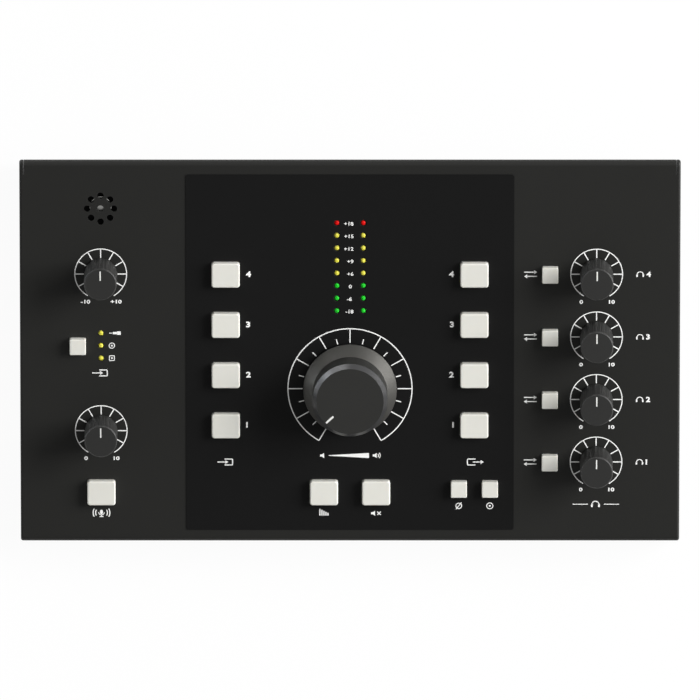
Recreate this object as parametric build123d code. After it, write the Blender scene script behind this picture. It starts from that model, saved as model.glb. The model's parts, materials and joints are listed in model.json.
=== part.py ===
from build123d import *
from math import cos, radians, sin, tan
import os

os.makedirs("parts", exist_ok=True)

# Desktop studio monitor controller. Millimetres, +Z up, +Y to the rear, +X to the right as seen
# by the person using it. The origin is on the table, under the middle of the case.
# Places on the sloping panel are given as u (across), v (up the slope from the front edge) and
# w (out of the panel's painted face).

# ---------------------------------------------------------------- case
case_width = 278.0
case_depth = 160.5
panel_tilt = 15.0
least_front_height = 18.0
foot_height = 4.0
sheet = 1.5
bend_radius = 2.2
side_bend_radius = 1.0
rear_lip = 8.0
rear_recess = 7.5
corner_slot_width = 0.45
corner_slot_length = 6.3
sheet_gap = 0.2
tray_rear_step = 0.9
foot_radius = 7.5
foot_edge = 1.0
foot_side_inset = 19.0
foot_end_inset = 17.0
bracket_width = 12.0
bracket_leg = 10.0
bracket_height = 9.0
side_bracket_y = (-45.0, 35.0)
front_bracket_x = (-70.0, 70.0)
rear_screw_x = (-91.0, -19.0, 90.0)

# ---------------------------------------------------------------- panel layout
side_knob_u = -104.9
trim_v = 116.4
talkback_level_v = 48.1
phones_u = 103.8
phones_v = 34.4
phones_pitch = 27.3
main_knob_v = 66.5
column_u = 52.35
column_v = 50.7
column_pitch = 21.9
key_row_v = 21.4
dim_cut_u = 11.0
input_select_u = -114.65
input_select_v = 85.2
polarity_u = 45.9
mono_u = 59.0
small_key_row_v = 22.9
phones_source_u = 84.2
meter_u = 5.55
meter_v = 100.4
meter_pitch = 5.457
status_led_pitch = 5.45
mic_v = 144.8
overlay_width = 138.1
overlay_length = 154.9
overlay_v = 82.2
overlay_thickness = 0.25
overlay_corner = 1.0
overlay_relief = 0.25

# ---------------------------------------------------------------- knobs, shafts and pots
shaft_radius = 3.0
shaft_flat_cut = 1.4
running_gap = 0.06
knob_bore_gap = 0.04
small_bushing_wall = 0.5
main_bushing_wall = 1.5
bushing_height = 3.2
bushing_hole_gap = 0.2
nut_wall = 1.5
nut_thickness = 2.0
small_knob_wall = 0.75
small_knob_top = 17.6
small_knob_lift = 0.6
small_knob_chamfer = 0.35
small_recess_gap = 0.375
small_recess_top = 3.7
flute_count = 24
flute_radius = 0.6
flute_depth = 0.12
main_skirt_radius = 19.7
main_neck_radius = 15.8
main_face_radius = 14.15
main_knob_lift = 1.8
main_skirt_rim = 2.6
main_skirt_top = 7.7
main_chamfer_start = 18.9
main_knob_top = 21.3
main_recess_gap = 0.67
main_recess_top = 5.5
main_hub_wall = 1.9
main_skirt_wall = 1.3
main_pointer_turn = 133.0
knob_grip_depth = 8.5
pointer_depth = 0.3
small_pointer_width = 0.62
small_pointer_length = 4.15
small_pointer_rim = 1.15
main_pointer_width = 0.9
main_pointer_inner = 9.5
main_pointer_outer = 13.8
rotor_rim = 1.0
rotor_thickness = 1.8
rotor_gap = 0.5
pot_pocket_depth = 3.4
small_pot_wall = 1.0
main_pot_wall = 3.75
pot_corner = 0.8

# ---------------------------------------------------------------- push buttons
big_cap_u = 11.9
big_cap_v = 10.5
big_cap_corner = 1.2
big_cap_edge = 0.6
small_cap_size = 6.8
small_cap_corner = 0.55
small_cap_edge = 0.4
cap_height = 3.2
cap_wall = 1.0
cap_roof = 1.8
cap_gap = 0.35
button_travel = 1.0
press_gap = 0.6
stem_size = 3.6
stem_gap = 0.4
big_switch_wall = 2.1
small_switch_wall = 0.9
switch_height = 6.0
switch_pocket = 4.2

# ---------------------------------------------------------------- lamps and microphone
led_radius = 1.1
led_flange_rim = 0.25
led_flange_thickness = 0.6
led_bottom = 4.0
led_proud = 0.4
led_dome = 0.8
led_leg = 0.45
led_leg_spacing = 2.0
led_hole_gap = 0.15
mic_hole_radius = 1.4
mic_hole_circle = 5.64
mic_hole_count = 8
mic_radius = 4.85
mic_edge = 0.5
mic_depth = 0.9
boot_wall = 0.9
boot_mouth_rim = 0.26
boot_floor = 1.9

# ---------------------------------------------------------------- boards and hardware
board = 1.6
board_gap = 9.5
control_board_front = 8.0
control_board_rear = 152.0
control_board_margin = 9.0
board_clearance = 1.33
post_radius = 2.75
post_side_inset = 17.0
post_front_inset = 6.0
post_rear_inset = 8.0
rear_post_u = 26.0
middle_posts = [(-76.0, 60.0), (72.0, 75.0)]
screw_radius = 1.45
tap_radius = 1.5
screw_hole_radius = 1.7
screw_reach = 5.0
short_screw_reach = 4.0
case_screw_spare = 1.0
head_radius = 2.75
head_height = 1.9
head_edge = 0.6
driver_slot_width = 0.6
driver_slot_depth = 0.7
main_board_lift = 4.5
main_board_length = 95.0
board_side_margin = 13.0
main_post_inset = 6.0
main_post_to_tier = 9.0
tier_post_gap = 0.75
tier_post_rim = 1.0
tier_post_left_inset = 17.0
tier_post_right_inset = 5.0
tier_middle_posts_x = (-37.0, 17.0)
jack_board_end = 10.0
board_rear_gap = 0.5
tier_gap = 2.0
relay_size = (7.5, 15.0, 10.0)
relay_count = 7
relay_first_x = -104.0
component_pitch = 11.0
can_radius = 4.0
can_height = 11.0
can_edge = 0.5
can_count = 5
can_first_x = 50.0
choke_size = 12.0
choke_height = 7.0
choke_corner = 2.0
choke_x = 112.0
relay_row = 48.0
chip_size = (10.3, 7.5, 2.5)
chip_count = 4
chip_pitch = 18.0
chip_row = 24.0
left_chip_x = -96.0
right_chip_x = 44.0

# ---------------------------------------------------------------- connectors in the rear panel
panel_edge_gap = 0.4
rear_flange = 8.0
jack_columns = 9
jack_edge_margin = 21.0
jack_bore_radius = 3.25
jack_bore_depth = 28.0
jack_side_wall = 1.35
jack_top_wall = 0.6
jack_spacing = 3.5
jack_length = 26.0
jack_nose_radius = 5.9
jack_nose_proud = 3.2
jack_nut_wall = 1.1
nose_chamfer = 0.4
nut_chamfer = 0.3
nose_gap = 0.2
digital_spacing = 22.0
coax_width = 10.0
coax_length = 12.0
coax_collar_radius = 4.8
coax_collar_proud = 0.5
coax_barrel_radius = 4.15
coax_barrel_length = 6.3
coax_hole_radius = 1.6
coax_hole_depth = 9.0
optical_size = 9.6
optical_body_width = 10.6
optical_length = 13.0
optical_height = 11.0
optical_proud = 0.5
optical_port_width = 6.6
optical_port_height = 6.2
optical_port_depth = 8.0
dc_spacing = 28.0
dc_width = 10.5
dc_length = 14.0
dc_height = 12.0
dc_nose_radius = 4.9
dc_nose_proud = 0.6
dc_hole_radius = 2.75
dc_hole_depth = 9.5
dc_pin_radius = 1.05
dc_pin_setback = 0.5
power_spacing = 29.0
power_z = 30.0
power_bezel_width = 15.0
power_bezel_height = 21.0
power_bezel_thickness = 1.6
power_bezel_edge = 0.5
power_body_width = 12.6
power_body_height = 18.6
power_body_length = 13.0
power_window_width = 9.4
power_window_height = 15.4
rocker_width = 8.6
rocker_half_length = 7.2
rocker_tip = 6.2
rocker_tip_rise = 5.9
rocker_middle_rise = 4.6
rocker_back = 2.6
rocker_pivot_setback = 3.6
rocker_pin_radius = 1.0
rocker_pin_length = 1.0
rocker_pin_end_gap = 0.4
rocker_tilt = 10.0

# ---------------------------------------------------------------- ribbon cable
ribbon_width = 33.0
ribbon_thickness = 0.9
ribbon_bend = 1.6
header_width = 35.0
header_depth = 6.0
header_height = 4.5
ribbon_upper_v = 70.0
ribbon_lower_y = 34.0
ribbon_drop = 3.6

# ---------------------------------------------------------------- derived places
tilt = radians(panel_tilt)
half_width = case_width / 2
small_bushing_radius = shaft_radius + small_bushing_wall
main_bushing_radius = shaft_radius + main_bushing_wall
small_nut_flats = 2 * (small_bushing_radius + nut_wall)
main_nut_flats = 2 * (main_bushing_radius + nut_wall)
small_recess_radius = small_nut_flats / 2 / cos(radians(30)) + small_recess_gap
main_recess_radius = main_nut_flats / 2 / cos(radians(30)) + main_recess_gap
small_knob_radius = small_recess_radius + small_knob_wall
main_hub_radius = main_recess_radius + main_hub_wall
shaft_flat = shaft_radius - shaft_flat_cut
rotor_radius = shaft_radius + rotor_rim
small_pot_size = 2 * (rotor_radius + rotor_gap + small_pot_wall)
main_pot_size = 2 * (rotor_radius + rotor_gap + main_pot_wall)
well_size = stem_size + 2 * stem_gap
big_switch_size = well_size + 2 * big_switch_wall
small_switch_size = well_size + 2 * small_switch_wall
boot_mouth_radius = mic_hole_circle + mic_hole_radius + boot_mouth_rim
boot_radius = boot_mouth_radius + boot_wall
jack_width = 2 * (jack_nose_radius + jack_side_wall)
jack_height = 2 * (jack_nose_radius + jack_top_wall)
jack_pitch = jack_width + jack_spacing
jack_first_x = jack_edge_margin - half_width
jack_last_x = jack_first_x + (jack_columns - 1) * jack_pitch
digital_x = jack_last_x + digital_spacing
dc_x = digital_x + dc_spacing
power_x = dc_x + power_spacing
jack_board_right = digital_x + jack_board_end
y_front = -case_depth / 2
y_rear = case_depth / 2
z_case = foot_height
z_tray = z_case + sheet
w_board = -(sheet + board_gap)
w_switch_top = w_board + switch_height
cap_skirt = -w_switch_top - button_travel - press_gap
stem_depth = cap_skirt + switch_pocket
mic_length = board_gap - mic_depth - boot_floor
y_connectors = y_rear - rear_recess
y_connectors_inside = y_connectors - sheet
z_main_board = z_tray + main_board_lift + board
z_lower_row = z_main_board + jack_height / 2
z_jack_board = z_main_board + jack_height + tier_gap + board
z_upper_row = z_jack_board + jack_height / 2
y_jacks_front = y_connectors_inside - jack_length
under_panel = (sheet + board_gap + board + board_clearance) / cos(tilt)
z_over_jacks = z_upper_row + jack_height / 2 + under_panel
z_front_top = max(
    z_case + least_front_height,
    z_over_jacks - (y_jacks_front - y_front) * tan(tilt),
)
z_rear_top = z_front_top + case_depth * tan(tilt)
panel = Plane(origin=(0, y_front, z_front_top), x_dir=(1, 0, 0), z_dir=(0, -sin(tilt), cos(tilt)))
y_boards_rear = y_connectors_inside - board_rear_gap
main_board_half = half_width - board_side_margin
on_base = (Align.CENTER, Align.CENTER, Align.MIN)
from_top = (Align.CENTER, Align.CENTER, Align.MAX)


def on_panel(u, v, w=0.0):
    """A place on the sloping panel, turned with it."""
    return panel.location * Pos(u, v, w)


def panel_z(y):
    """Height of the panel's painted face at a distance along the table."""
    return z_front_top + (y - y_front) * tan(tilt)


def rearward(x, y, z):
    """A place in the rear panel whose local Z points out of the case, to the rear."""
    return Pos(x, y, z) * Rot(-90, 0, 0)


def hexagon(flats, height):
    """A hexagonal prism on its base, measured across the flats."""
    return extrude(RegularPolygon(flats / 2, 6, major_radius=False), amount=height)


def group(solids):
    """Separate solids kept together in one node."""
    return Compound(children=list(solids))


# ---------------------------------------------------------------- control positions
small_knobs = {
    "trim": (side_knob_u, trim_v),
    "talkback_level": (side_knob_u, talkback_level_v),
}
big_buttons = {
    "dim_button": (-dim_cut_u, key_row_v),
    "cut_button": (dim_cut_u, key_row_v),
    "talkback_button": (side_knob_u, key_row_v),
}
small_buttons = {
    "input_select_button": (input_select_u, input_select_v),
    "polarity_button": (polarity_u, small_key_row_v),
    "mono_button": (mono_u, small_key_row_v),
}
for step in range(4):
    small_knobs[f"headphone_{step + 1}"] = (phones_u, phones_v + step * phones_pitch)
    small_buttons[f"headphone_source_button_{step + 1}"] = (
        phones_source_u,
        phones_v + step * phones_pitch,
    )
    big_buttons[f"input_button_{step + 1}"] = (-column_u, column_v + step * column_pitch)
    big_buttons[f"output_button_{step + 1}"] = (column_u, column_v + step * column_pitch)

meter_rows = [meter_v + step * meter_pitch for step in range(8)]
green_places = [(side * meter_u, v) for v in meter_rows[:3] for side in (-1, 1)]
yellow_places = [(side * meter_u, v) for v in meter_rows[3:7] for side in (-1, 1)]
yellow_places += [
    (side_knob_u, input_select_v + step * status_led_pitch) for step in (-1, 0, 1)
]
red_places = [(side * meter_u, meter_rows[7]) for side in (-1, 1)]

side_post_u = half_width - post_side_inset
rear_post_v = control_board_rear - post_rear_inset
front_post_v = control_board_front + post_front_inset
post_places = [
    (-side_post_u, front_post_v),
    (side_post_u, front_post_v),
    (-side_post_u, rear_post_v),
    (side_post_u, rear_post_v),
    (-rear_post_u, rear_post_v),
    (rear_post_u, rear_post_v),
    *middle_posts,
]


# ---------------------------------------------------------------- case pieces
def case_outline(inset, bottom):
    """Side outline of the case, set in by a wall, as a face in the YZ plane."""
    front = y_front + inset
    rear = y_rear - inset
    drop = inset / cos(tilt)
    outline = Polygon(
        (front, bottom),
        (front, panel_z(front) - drop),
        (rear, panel_z(rear) - drop),
        (rear, bottom),
        align=None,
    )
    bends = outline.vertices().sort_by(Axis.Y)[-2:]
    return Plane.YZ * fillet(bends, bend_radius - inset)


def panel_cutters(relief):
    """Everything that is punched out of the panel, grown all round by a relief."""
    deep = 3 * sheet
    cutters = []
    for u, v in small_knobs.values():
        hole = small_bushing_radius + bushing_hole_gap + relief
        cutters.append(on_panel(u, v) * Cylinder(hole, 2 * deep))
    main_hole = main_bushing_radius + bushing_hole_gap + relief
    cutters.append(on_panel(0, main_knob_v) * Cylinder(main_hole, 2 * deep))
    grow = 2 * (cap_gap + relief)
    for places, size_u, size_v, corner in (
        (big_buttons, big_cap_u, big_cap_v, big_cap_corner),
        (small_buttons, small_cap_size, small_cap_size, small_cap_corner),
    ):
        window = RectangleRounded(size_u + grow, size_v + grow, corner + grow / 2)
        punch = extrude(window, amount=deep, both=True)
        cutters += [on_panel(u, v) * punch for u, v in places.values()]
    lamp = Cylinder(led_radius + led_hole_gap + relief, 2 * deep)
    cutters += [on_panel(u, v) * lamp for u, v in red_places + yellow_places + green_places]
    sound_hole = Cylinder(mic_hole_radius, 2 * deep)
    cutters.append(on_panel(side_knob_u, mic_v) * sound_hole)
    for place in PolarLocations(mic_hole_circle, mic_hole_count):
        cutters.append(on_panel(side_knob_u, mic_v) * place * sound_hole)
    return cutters


def make_top_shell():
    """Folded steel cover: panel, both sides, front and a short lip at the rear."""
    outer = extrude(case_outline(0, z_case), amount=half_width, both=True)
    side_edges = [
        edge
        for edge in outer.edges()
        if abs(abs(edge.center().X) - half_width) < 0.01 and edge.center().Z > z_case + 0.01
    ]
    outer = fillet(side_edges, side_bend_radius)
    inner = extrude(case_outline(sheet, z_case - sheet), amount=half_width - sheet, both=True)
    lip_bottom = z_rear_top - rear_lip
    window = Pos(0, y_rear, (z_case + lip_bottom) / 2 - sheet) * Box(
        case_width - 2 * sheet, 4 * sheet, lip_bottom - z_case + 2 * sheet
    )
    shell = outer - inner - window
    slot_x = half_width - sheet - corner_slot_width / 2
    slot = Box(
        corner_slot_width,
        corner_slot_length,
        4 * rear_lip,
        align=(Align.CENTER, Align.MAX, Align.CENTER),
    )
    shell -= [Pos(side * slot_x, y_rear, z_rear_top) * slot for side in (-1, 1)]
    return shell - panel_cutters(0)


def make_centre_overlay():
    """Dark film behind the main knob, the two button columns and the meter."""
    film = extrude(
        RectangleRounded(overlay_width, overlay_length, overlay_corner), amount=overlay_thickness
    )
    return on_panel(0, overlay_v) * film - panel_cutters(overlay_relief)


foot_x = half_width - foot_side_inset
foot_y = case_depth / 2 - foot_end_inset


def bracket_places():
    """Where a case bracket stands: its local Y points into the case, from the wall."""
    wall_x = half_width - sheet
    places = []
    for y in side_bracket_y:
        places.append(Pos(-wall_x, y, z_tray) * Rot(0, 0, -90))
        places.append(Pos(wall_x, y, z_tray) * Rot(0, 0, 90))
    for x in front_bracket_x:
        places.append(Pos(x, y_front + sheet, z_tray))
    return places


def case_screw_places():
    """Every place where a screw comes up through the tray."""
    places = [place * Pos(0, bracket_leg / 2 + sheet / 2, 0) for place in bracket_places()]
    y = y_connectors_inside - rear_flange / 2
    places += [Pos(x, y, z_tray) for x in rear_screw_x]
    return places


def make_base_tray():
    """Flat steel bottom that closes the cover."""
    width = case_width - 2 * (sheet + sheet_gap)
    front = y_front + sheet + sheet_gap
    rear = y_rear - tray_rear_step
    tray = Pos(0, (front + rear) / 2, z_case) * Box(width, rear - front, sheet, align=on_base)
    hole = Cylinder(screw_hole_radius, 4 * sheet)
    return tray - [place * hole for place in case_screw_places()]


def make_case_brackets():
    """Small angles welded inside the cover, which take the case screws."""
    foot = Box(bracket_width, bracket_leg, sheet, align=(Align.CENTER, Align.MIN, Align.MIN))
    wall = Box(bracket_width, sheet, bracket_height, align=(Align.CENTER, Align.MIN, Align.MIN))
    hole = Pos(0, bracket_leg / 2 + sheet / 2, 0) * Cylinder(tap_radius, 6 * sheet)
    angle = foot + wall - hole
    return group(place * angle for place in bracket_places())


def make_rubber_feet():
    """Four feet with a rounded lower edge."""
    foot = Cylinder(foot_radius, foot_height, align=on_base)
    foot = fillet(foot.edges().sort_by(Axis.Z)[0], foot_edge)
    return group(
        Pos(side * foot_x, end * foot_y, 0) * foot for side in (-1, 1) for end in (-1, 1)
    )


# ---------------------------------------------------------------- connectors
jack_places = [
    (jack_first_x + column * jack_pitch, z)
    for column in range(jack_columns)
    for z in (z_lower_row, z_upper_row)
]
z_optical = z_main_board + optical_height / 2
z_dc = z_main_board + dc_height / 2


def make_rear_panel():
    """Connector panel with a flange along its lower edge."""
    top = panel_z(y_connectors_inside) - sheet / cos(tilt) - panel_edge_gap
    width = case_width - 2 * (sheet + sheet_gap)
    plate = Pos(0, y_connectors_inside, z_tray) * Box(
        width, sheet, top - z_tray, align=(Align.CENTER, Align.MIN, Align.MIN)
    )
    flange = Pos(0, y_connectors, z_tray) * Box(
        width, rear_flange + sheet, sheet, align=(Align.CENTER, Align.MAX, Align.MIN)
    )
    plate += flange
    y = y_connectors
    deep = 6 * sheet
    cutters = [
        rearward(x, y, z) * Cylinder(jack_nose_radius + nose_gap, deep) for x, z in jack_places
    ]
    cutters.append(
        rearward(digital_x, y, z_upper_row) * Cylinder(coax_collar_radius + nose_gap, deep)
    )
    cutters.append(rearward(dc_x, y, z_dc) * Cylinder(dc_nose_radius + nose_gap, deep))
    snout = optical_size + 2 * nose_gap
    cutters.append(Pos(digital_x, y, z_optical) * Box(snout, deep, snout))
    cutters.append(
        Pos(power_x, y, power_z)
        * Box(power_body_width + 2 * nose_gap, deep, power_body_height + 2 * nose_gap)
    )
    for x in rear_screw_x:
        place = Pos(x, y_connectors_inside - rear_flange / 2, z_tray)
        cutters.append(place * Cylinder(tap_radius, deep))
    return plate - cutters


def make_jack_bodies():
    """Switched 6.35 mm jack sockets, each a moulded body with a threaded nose."""
    body = Box(jack_width, jack_height, jack_length, align=from_top)
    nose_length = sheet + jack_nose_proud
    nose = Cylinder(jack_nose_radius, nose_length, align=on_base)
    nose = chamfer(nose.edges().sort_by(Axis.Z)[-1], nose_chamfer)
    bore = Pos(0, 0, nose_length) * Cylinder(jack_bore_radius, jack_bore_depth, align=from_top)
    jack = body + nose - bore
    return group(rearward(x, y_connectors_inside, z) * jack for x, z in jack_places)


def make_jack_nuts():
    """Nuts that hold the jack noses in the rear panel."""
    nut = hexagon(2 * (jack_nose_radius + jack_nut_wall), nut_thickness)
    nut = chamfer(nut.edges().group_by(Axis.Z)[-1], nut_chamfer)
    nut -= Cylinder(jack_nose_radius + running_gap, 4 * nut_thickness)
    return group(rearward(x, y_connectors, z) * nut for x, z in jack_places)


def make_coax_socket():
    """Phono-type socket for a coaxial digital lead."""
    height = z_upper_row - z_jack_board
    body = Box(coax_width, 2 * height, coax_length, align=from_top)
    collar_length = sheet + coax_collar_proud
    collar = Cylinder(coax_collar_radius, collar_length, align=on_base)
    barrel = Cylinder(coax_barrel_radius, collar_length + coax_barrel_length, align=on_base)
    hole = Pos(0, 0, collar_length + coax_barrel_length) * Cylinder(
        coax_hole_radius, coax_hole_depth, align=from_top
    )
    return rearward(digital_x, y_connectors_inside, z_upper_row) * (body + collar + barrel - hole)


def make_optical_socket():
    """Square-nosed socket for an optical digital lead."""
    body = Box(optical_body_width, optical_height, optical_length, align=from_top)
    snout_length = sheet + optical_proud
    snout = Box(optical_size, optical_size, snout_length, align=on_base)
    port = Pos(0, 0, snout_length) * Box(
        optical_port_width, optical_port_height, optical_port_depth, align=from_top
    )
    return rearward(digital_x, y_connectors_inside, z_optical) * (body + snout - port)


def make_dc_inlet():
    """Round low-voltage inlet with a centre pin."""
    body = Box(dc_width, dc_height, dc_length, align=from_top)
    nose_length = sheet + dc_nose_proud
    nose = Cylinder(dc_nose_radius, nose_length, align=on_base)
    hole = Pos(0, 0, nose_length) * Cylinder(dc_hole_radius, dc_hole_depth, align=from_top)
    pin = Pos(0, 0, nose_length - dc_hole_depth) * Cylinder(
        dc_pin_radius, dc_hole_depth - dc_pin_setback, align=on_base
    )
    return rearward(dc_x, y_connectors_inside, z_dc) * (body + nose - hole + pin)


y_rocker_pivot = y_connectors + power_bezel_thickness - rocker_pivot_setback


def make_power_switch_housing():
    """Snap-in rocker switch frame with a bezel outside the panel."""
    body = Box(power_body_width, power_body_height, power_body_length + sheet, align=from_top)
    bezel = Box(power_bezel_width, power_bezel_height, power_bezel_thickness, align=on_base)
    bezel = chamfer(bezel.edges().group_by(Axis.Z)[-1], power_bezel_edge)
    window = Pos(0, 0, power_bezel_thickness) * Box(
        power_window_width, power_window_height, power_body_length, align=from_top
    )
    housing = rearward(power_x, y_connectors, power_z) * (body + bezel - window)
    seat = Pos(power_x, y_rocker_pivot, power_z) * Rot(0, 90, 0) * Cylinder(
        rocker_pin_radius + running_gap,
        rocker_width + 2 * (rocker_pin_length + rocker_pin_end_gap),
    )
    return housing - seat


def make_power_rocker():
    """Rocker with a shallow V face and two pivot pins, resting with its lower half pressed."""
    outline = Polygon(
        (0, rocker_middle_rise),
        (rocker_tip, rocker_tip_rise),
        (rocker_half_length, 0),
        (rocker_tip, -rocker_back),
        (-rocker_tip, -rocker_back),
        (-rocker_half_length, 0),
        (-rocker_tip, rocker_tip_rise),
        align=None,
    )
    rocker = Plane.YZ * extrude(outline, amount=rocker_width / 2, both=True)
    pins = Rot(0, 90, 0) * Cylinder(rocker_pin_radius, rocker_width + 2 * rocker_pin_length)
    upright = Rot(-90 - rocker_tilt, 0, 0) * (rocker + pins)
    return Pos(power_x, y_rocker_pivot, power_z) * upright


# ---------------------------------------------------------------- boards and hardware
def make_control_board():
    """Board under the panel that carries the pots, switches, lamps and microphone."""
    length = control_board_rear - control_board_front
    width = case_width - 2 * control_board_margin
    place = on_panel(0, (control_board_front + control_board_rear) / 2, w_board)
    plate = place * Box(width, length, board, align=from_top)
    hole = Cylinder(screw_hole_radius, 4 * board)
    return plate - [on_panel(u, v, w_board) * hole for u, v in post_places]


y_main_board_front = y_boards_rear - main_board_length
y_tier_posts = y_jacks_front - post_radius - tier_post_gap
jack_board_length = y_boards_rear - y_tier_posts + post_radius + tier_post_rim
main_board_side = main_board_half - main_post_inset
main_board_screws = [
    (x, y)
    for x in (-main_board_side, 0.0, main_board_side)
    for y in (y_main_board_front + main_post_inset, y_tier_posts - main_post_to_tier)
]
jack_board_left = -main_board_half
jack_board_screws = [(jack_board_left + tier_post_left_inset, y_tier_posts)]
jack_board_screws += [(x, y_tier_posts) for x in tier_middle_posts_x]
jack_board_screws.append((jack_board_right - tier_post_right_inset, y_tier_posts))


def make_main_board():
    """Board on the tray: lower row of jacks, optical socket and inlet."""
    plate = Pos(0, y_boards_rear, z_main_board) * Box(
        2 * main_board_half, main_board_length, board, align=(Align.CENTER, Align.MAX, Align.MAX)
    )
    hole = Cylinder(screw_hole_radius, 4 * board)
    return plate - [Pos(x, y, z_main_board) * hole for x, y in main_board_screws]


def make_jack_board():
    """Upper board on spacers: upper row of jacks and coaxial socket."""
    width = jack_board_right - jack_board_left
    plate = Pos(jack_board_left, y_boards_rear, z_jack_board) * Box(
        width, jack_board_length, board, align=(Align.MIN, Align.MAX, Align.MAX)
    )
    hole = Cylinder(screw_hole_radius, 4 * board)
    return plate - [Pos(x, y, z_jack_board) * hole for x, y in jack_board_screws]


def make_board_standoffs():
    """Tapped round spacers under the panel, on the tray and between the two rear boards."""
    bore = Cylinder(tap_radius, 4 * (jack_height + tier_gap))
    under_panel = Cylinder(post_radius, board_gap, align=from_top) - bore
    on_tray = Cylinder(post_radius, main_board_lift, align=on_base) - bore
    tier = Cylinder(post_radius, jack_height + tier_gap, align=on_base) - bore
    posts = [on_panel(u, v, -sheet) * under_panel for u, v in post_places]
    posts += [Pos(x, y, z_tray) * on_tray for x, y in main_board_screws]
    posts += [Pos(x, y, z_main_board) * tier for x, y in jack_board_screws]
    return group(posts)


def pan_screw(length):
    """A pan-head screw whose head stands on local Z and whose shank goes down."""
    head = Cylinder(head_radius, head_height, align=on_base)
    head = fillet(head.edges().sort_by(Axis.Z)[-1], head_edge)
    slot = Pos(0, 0, head_height) * Box(
        2 * head_radius, driver_slot_width, 2 * driver_slot_depth
    )
    return head - slot + Cylinder(screw_radius, length, align=from_top)


def make_machine_screws():
    """All M3 screws: through the tray, and those that hold the three boards."""
    upside_down = Rot(180, 0, 0)
    case_screw = Pos(0, 0, -sheet) * upside_down * pan_screw(2 * sheet + case_screw_spare)
    under_board = upside_down * pan_screw(board + screw_reach)
    main_screw = pan_screw(board + short_screw_reach)
    upper_screw = pan_screw(board + screw_reach)
    screws = [place * case_screw for place in case_screw_places()]
    screws += [on_panel(u, v, w_board - board) * under_board for u, v in post_places]
    screws += [Pos(x, y, z_main_board) * main_screw for x, y in main_board_screws]
    screws += [Pos(x, y, z_jack_board) * upper_screw for x, y in jack_board_screws]
    return group(screws)


y_lower_header = y_main_board_front + ribbon_lower_y
y_relays = y_main_board_front + relay_row
y_chips = y_main_board_front + chip_row


def make_ribbon_cable():
    """Flat cable from under the control board to the main board."""
    start = panel.location * Pos(0, ribbon_upper_v, w_board - board - header_height)
    top = start.position
    turn = (start * Pos(0, 0, -ribbon_drop)).position
    end_z = z_main_board + header_height
    path = FilletPolyline(
        (0, top.Y, top.Z),
        (0, turn.Y, turn.Z),
        (0, y_lower_header, turn.Z),
        (0, y_lower_header, end_z),
        radius=ribbon_bend,
    )
    strip = Plane(origin=path @ 0, z_dir=path % 0, x_dir=(1, 0, 0)) * Rectangle(
        ribbon_width, ribbon_thickness
    )
    return sweep(strip, path=path)


def make_board_components():
    """Headers, relays, capacitors, chips and a choke on the two larger boards."""
    header = Box(header_width, header_depth, header_height, align=on_base)
    upper_header = Rot(180, 0, 0) * header
    parts = [
        on_panel(0, ribbon_upper_v, w_board - board) * upper_header,
        Pos(0, y_lower_header, z_main_board) * header,
    ]
    relay = Box(*relay_size, align=on_base)
    can = Cylinder(can_radius, can_height, align=on_base)
    can = fillet(can.edges().sort_by(Axis.Z)[-1], can_edge)
    chip = Box(*chip_size, align=on_base)
    for piece, count, first_x, pitch, y in (
        (relay, relay_count, relay_first_x, component_pitch, y_relays),
        (can, can_count, can_first_x, component_pitch, y_relays),
        (chip, chip_count, left_chip_x, chip_pitch, y_chips),
        (chip, chip_count, right_chip_x, chip_pitch, y_chips),
    ):
        parts += [Pos(first_x + step * pitch, y, z_main_board) * piece for step in range(count)]
    choke = Box(choke_size, choke_size, choke_height, align=on_base)
    choke = fillet(choke.edges().filter_by(Axis.Z), choke_corner)
    parts.append(Pos(choke_x, y_relays, z_main_board) * choke)
    return group(parts)


# ---------------------------------------------------------------- pots and knobs
def pot_body(size, bushing_radius):
    """Pot case that stands on the control board and reaches up through the panel."""
    case = Pos(0, 0, -sheet) * Box(size, size, board_gap, align=from_top)
    case = chamfer(case.edges().filter_by(Axis.Z), pot_corner)
    bushing = Pos(0, 0, -sheet) * Cylinder(
        bushing_radius, sheet + bushing_height, align=on_base
    )
    bore = Cylinder(shaft_radius + running_gap, 6 * board_gap)
    pocket = Pos(0, 0, w_board) * Cylinder(
        rotor_radius + rotor_gap, pot_pocket_depth, align=on_base
    )
    return case + bushing - bore - pocket


def make_pot_bodies():
    small = pot_body(small_pot_size, small_bushing_radius)
    large = pot_body(main_pot_size, main_bushing_radius)
    pots = [on_panel(u, v) * small for u, v in small_knobs.values()]
    pots.append(on_panel(0, main_knob_v) * large)
    return group(pots)


def make_pot_nuts():
    """Nuts on the bushings, hidden in the hollow under each knob."""
    small = hexagon(small_nut_flats, nut_thickness)
    small -= Cylinder(small_bushing_radius + running_gap, 4 * nut_thickness)
    large = hexagon(main_nut_flats, nut_thickness)
    large -= Cylinder(main_bushing_radius + running_gap, 4 * nut_thickness)
    nuts = [on_panel(u, v) * small for u, v in small_knobs.values()]
    nuts.append(on_panel(0, main_knob_v, overlay_thickness) * large)
    return group(nuts)


def shaft_profile(radius, flat, length):
    """A round rod with a flat on its +X side, standing on local Z."""
    rod = Cylinder(radius, length, align=on_base)
    beyond = Box(2 * radius, 4 * radius, 2 * length, align=(Align.MIN, Align.CENTER, Align.CENTER))
    return rod - Pos(flat, 0, 0) * beyond


def make_shaft(recess_top):
    """Pot shaft with its rotor; the flat starts just above the bushing."""
    rotor_w = w_board + rotor_gap
    rotor = Pos(0, 0, rotor_w) * Cylinder(rotor_radius, rotor_thickness, align=on_base)
    rod = Pos(0, 0, rotor_w) * Cylinder(shaft_radius, recess_top - rotor_w, align=on_base)
    tip = Pos(0, 0, recess_top) * shaft_profile(
        shaft_radius, shaft_flat, knob_grip_depth - running_gap
    )
    return rotor + rod + tip


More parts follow.
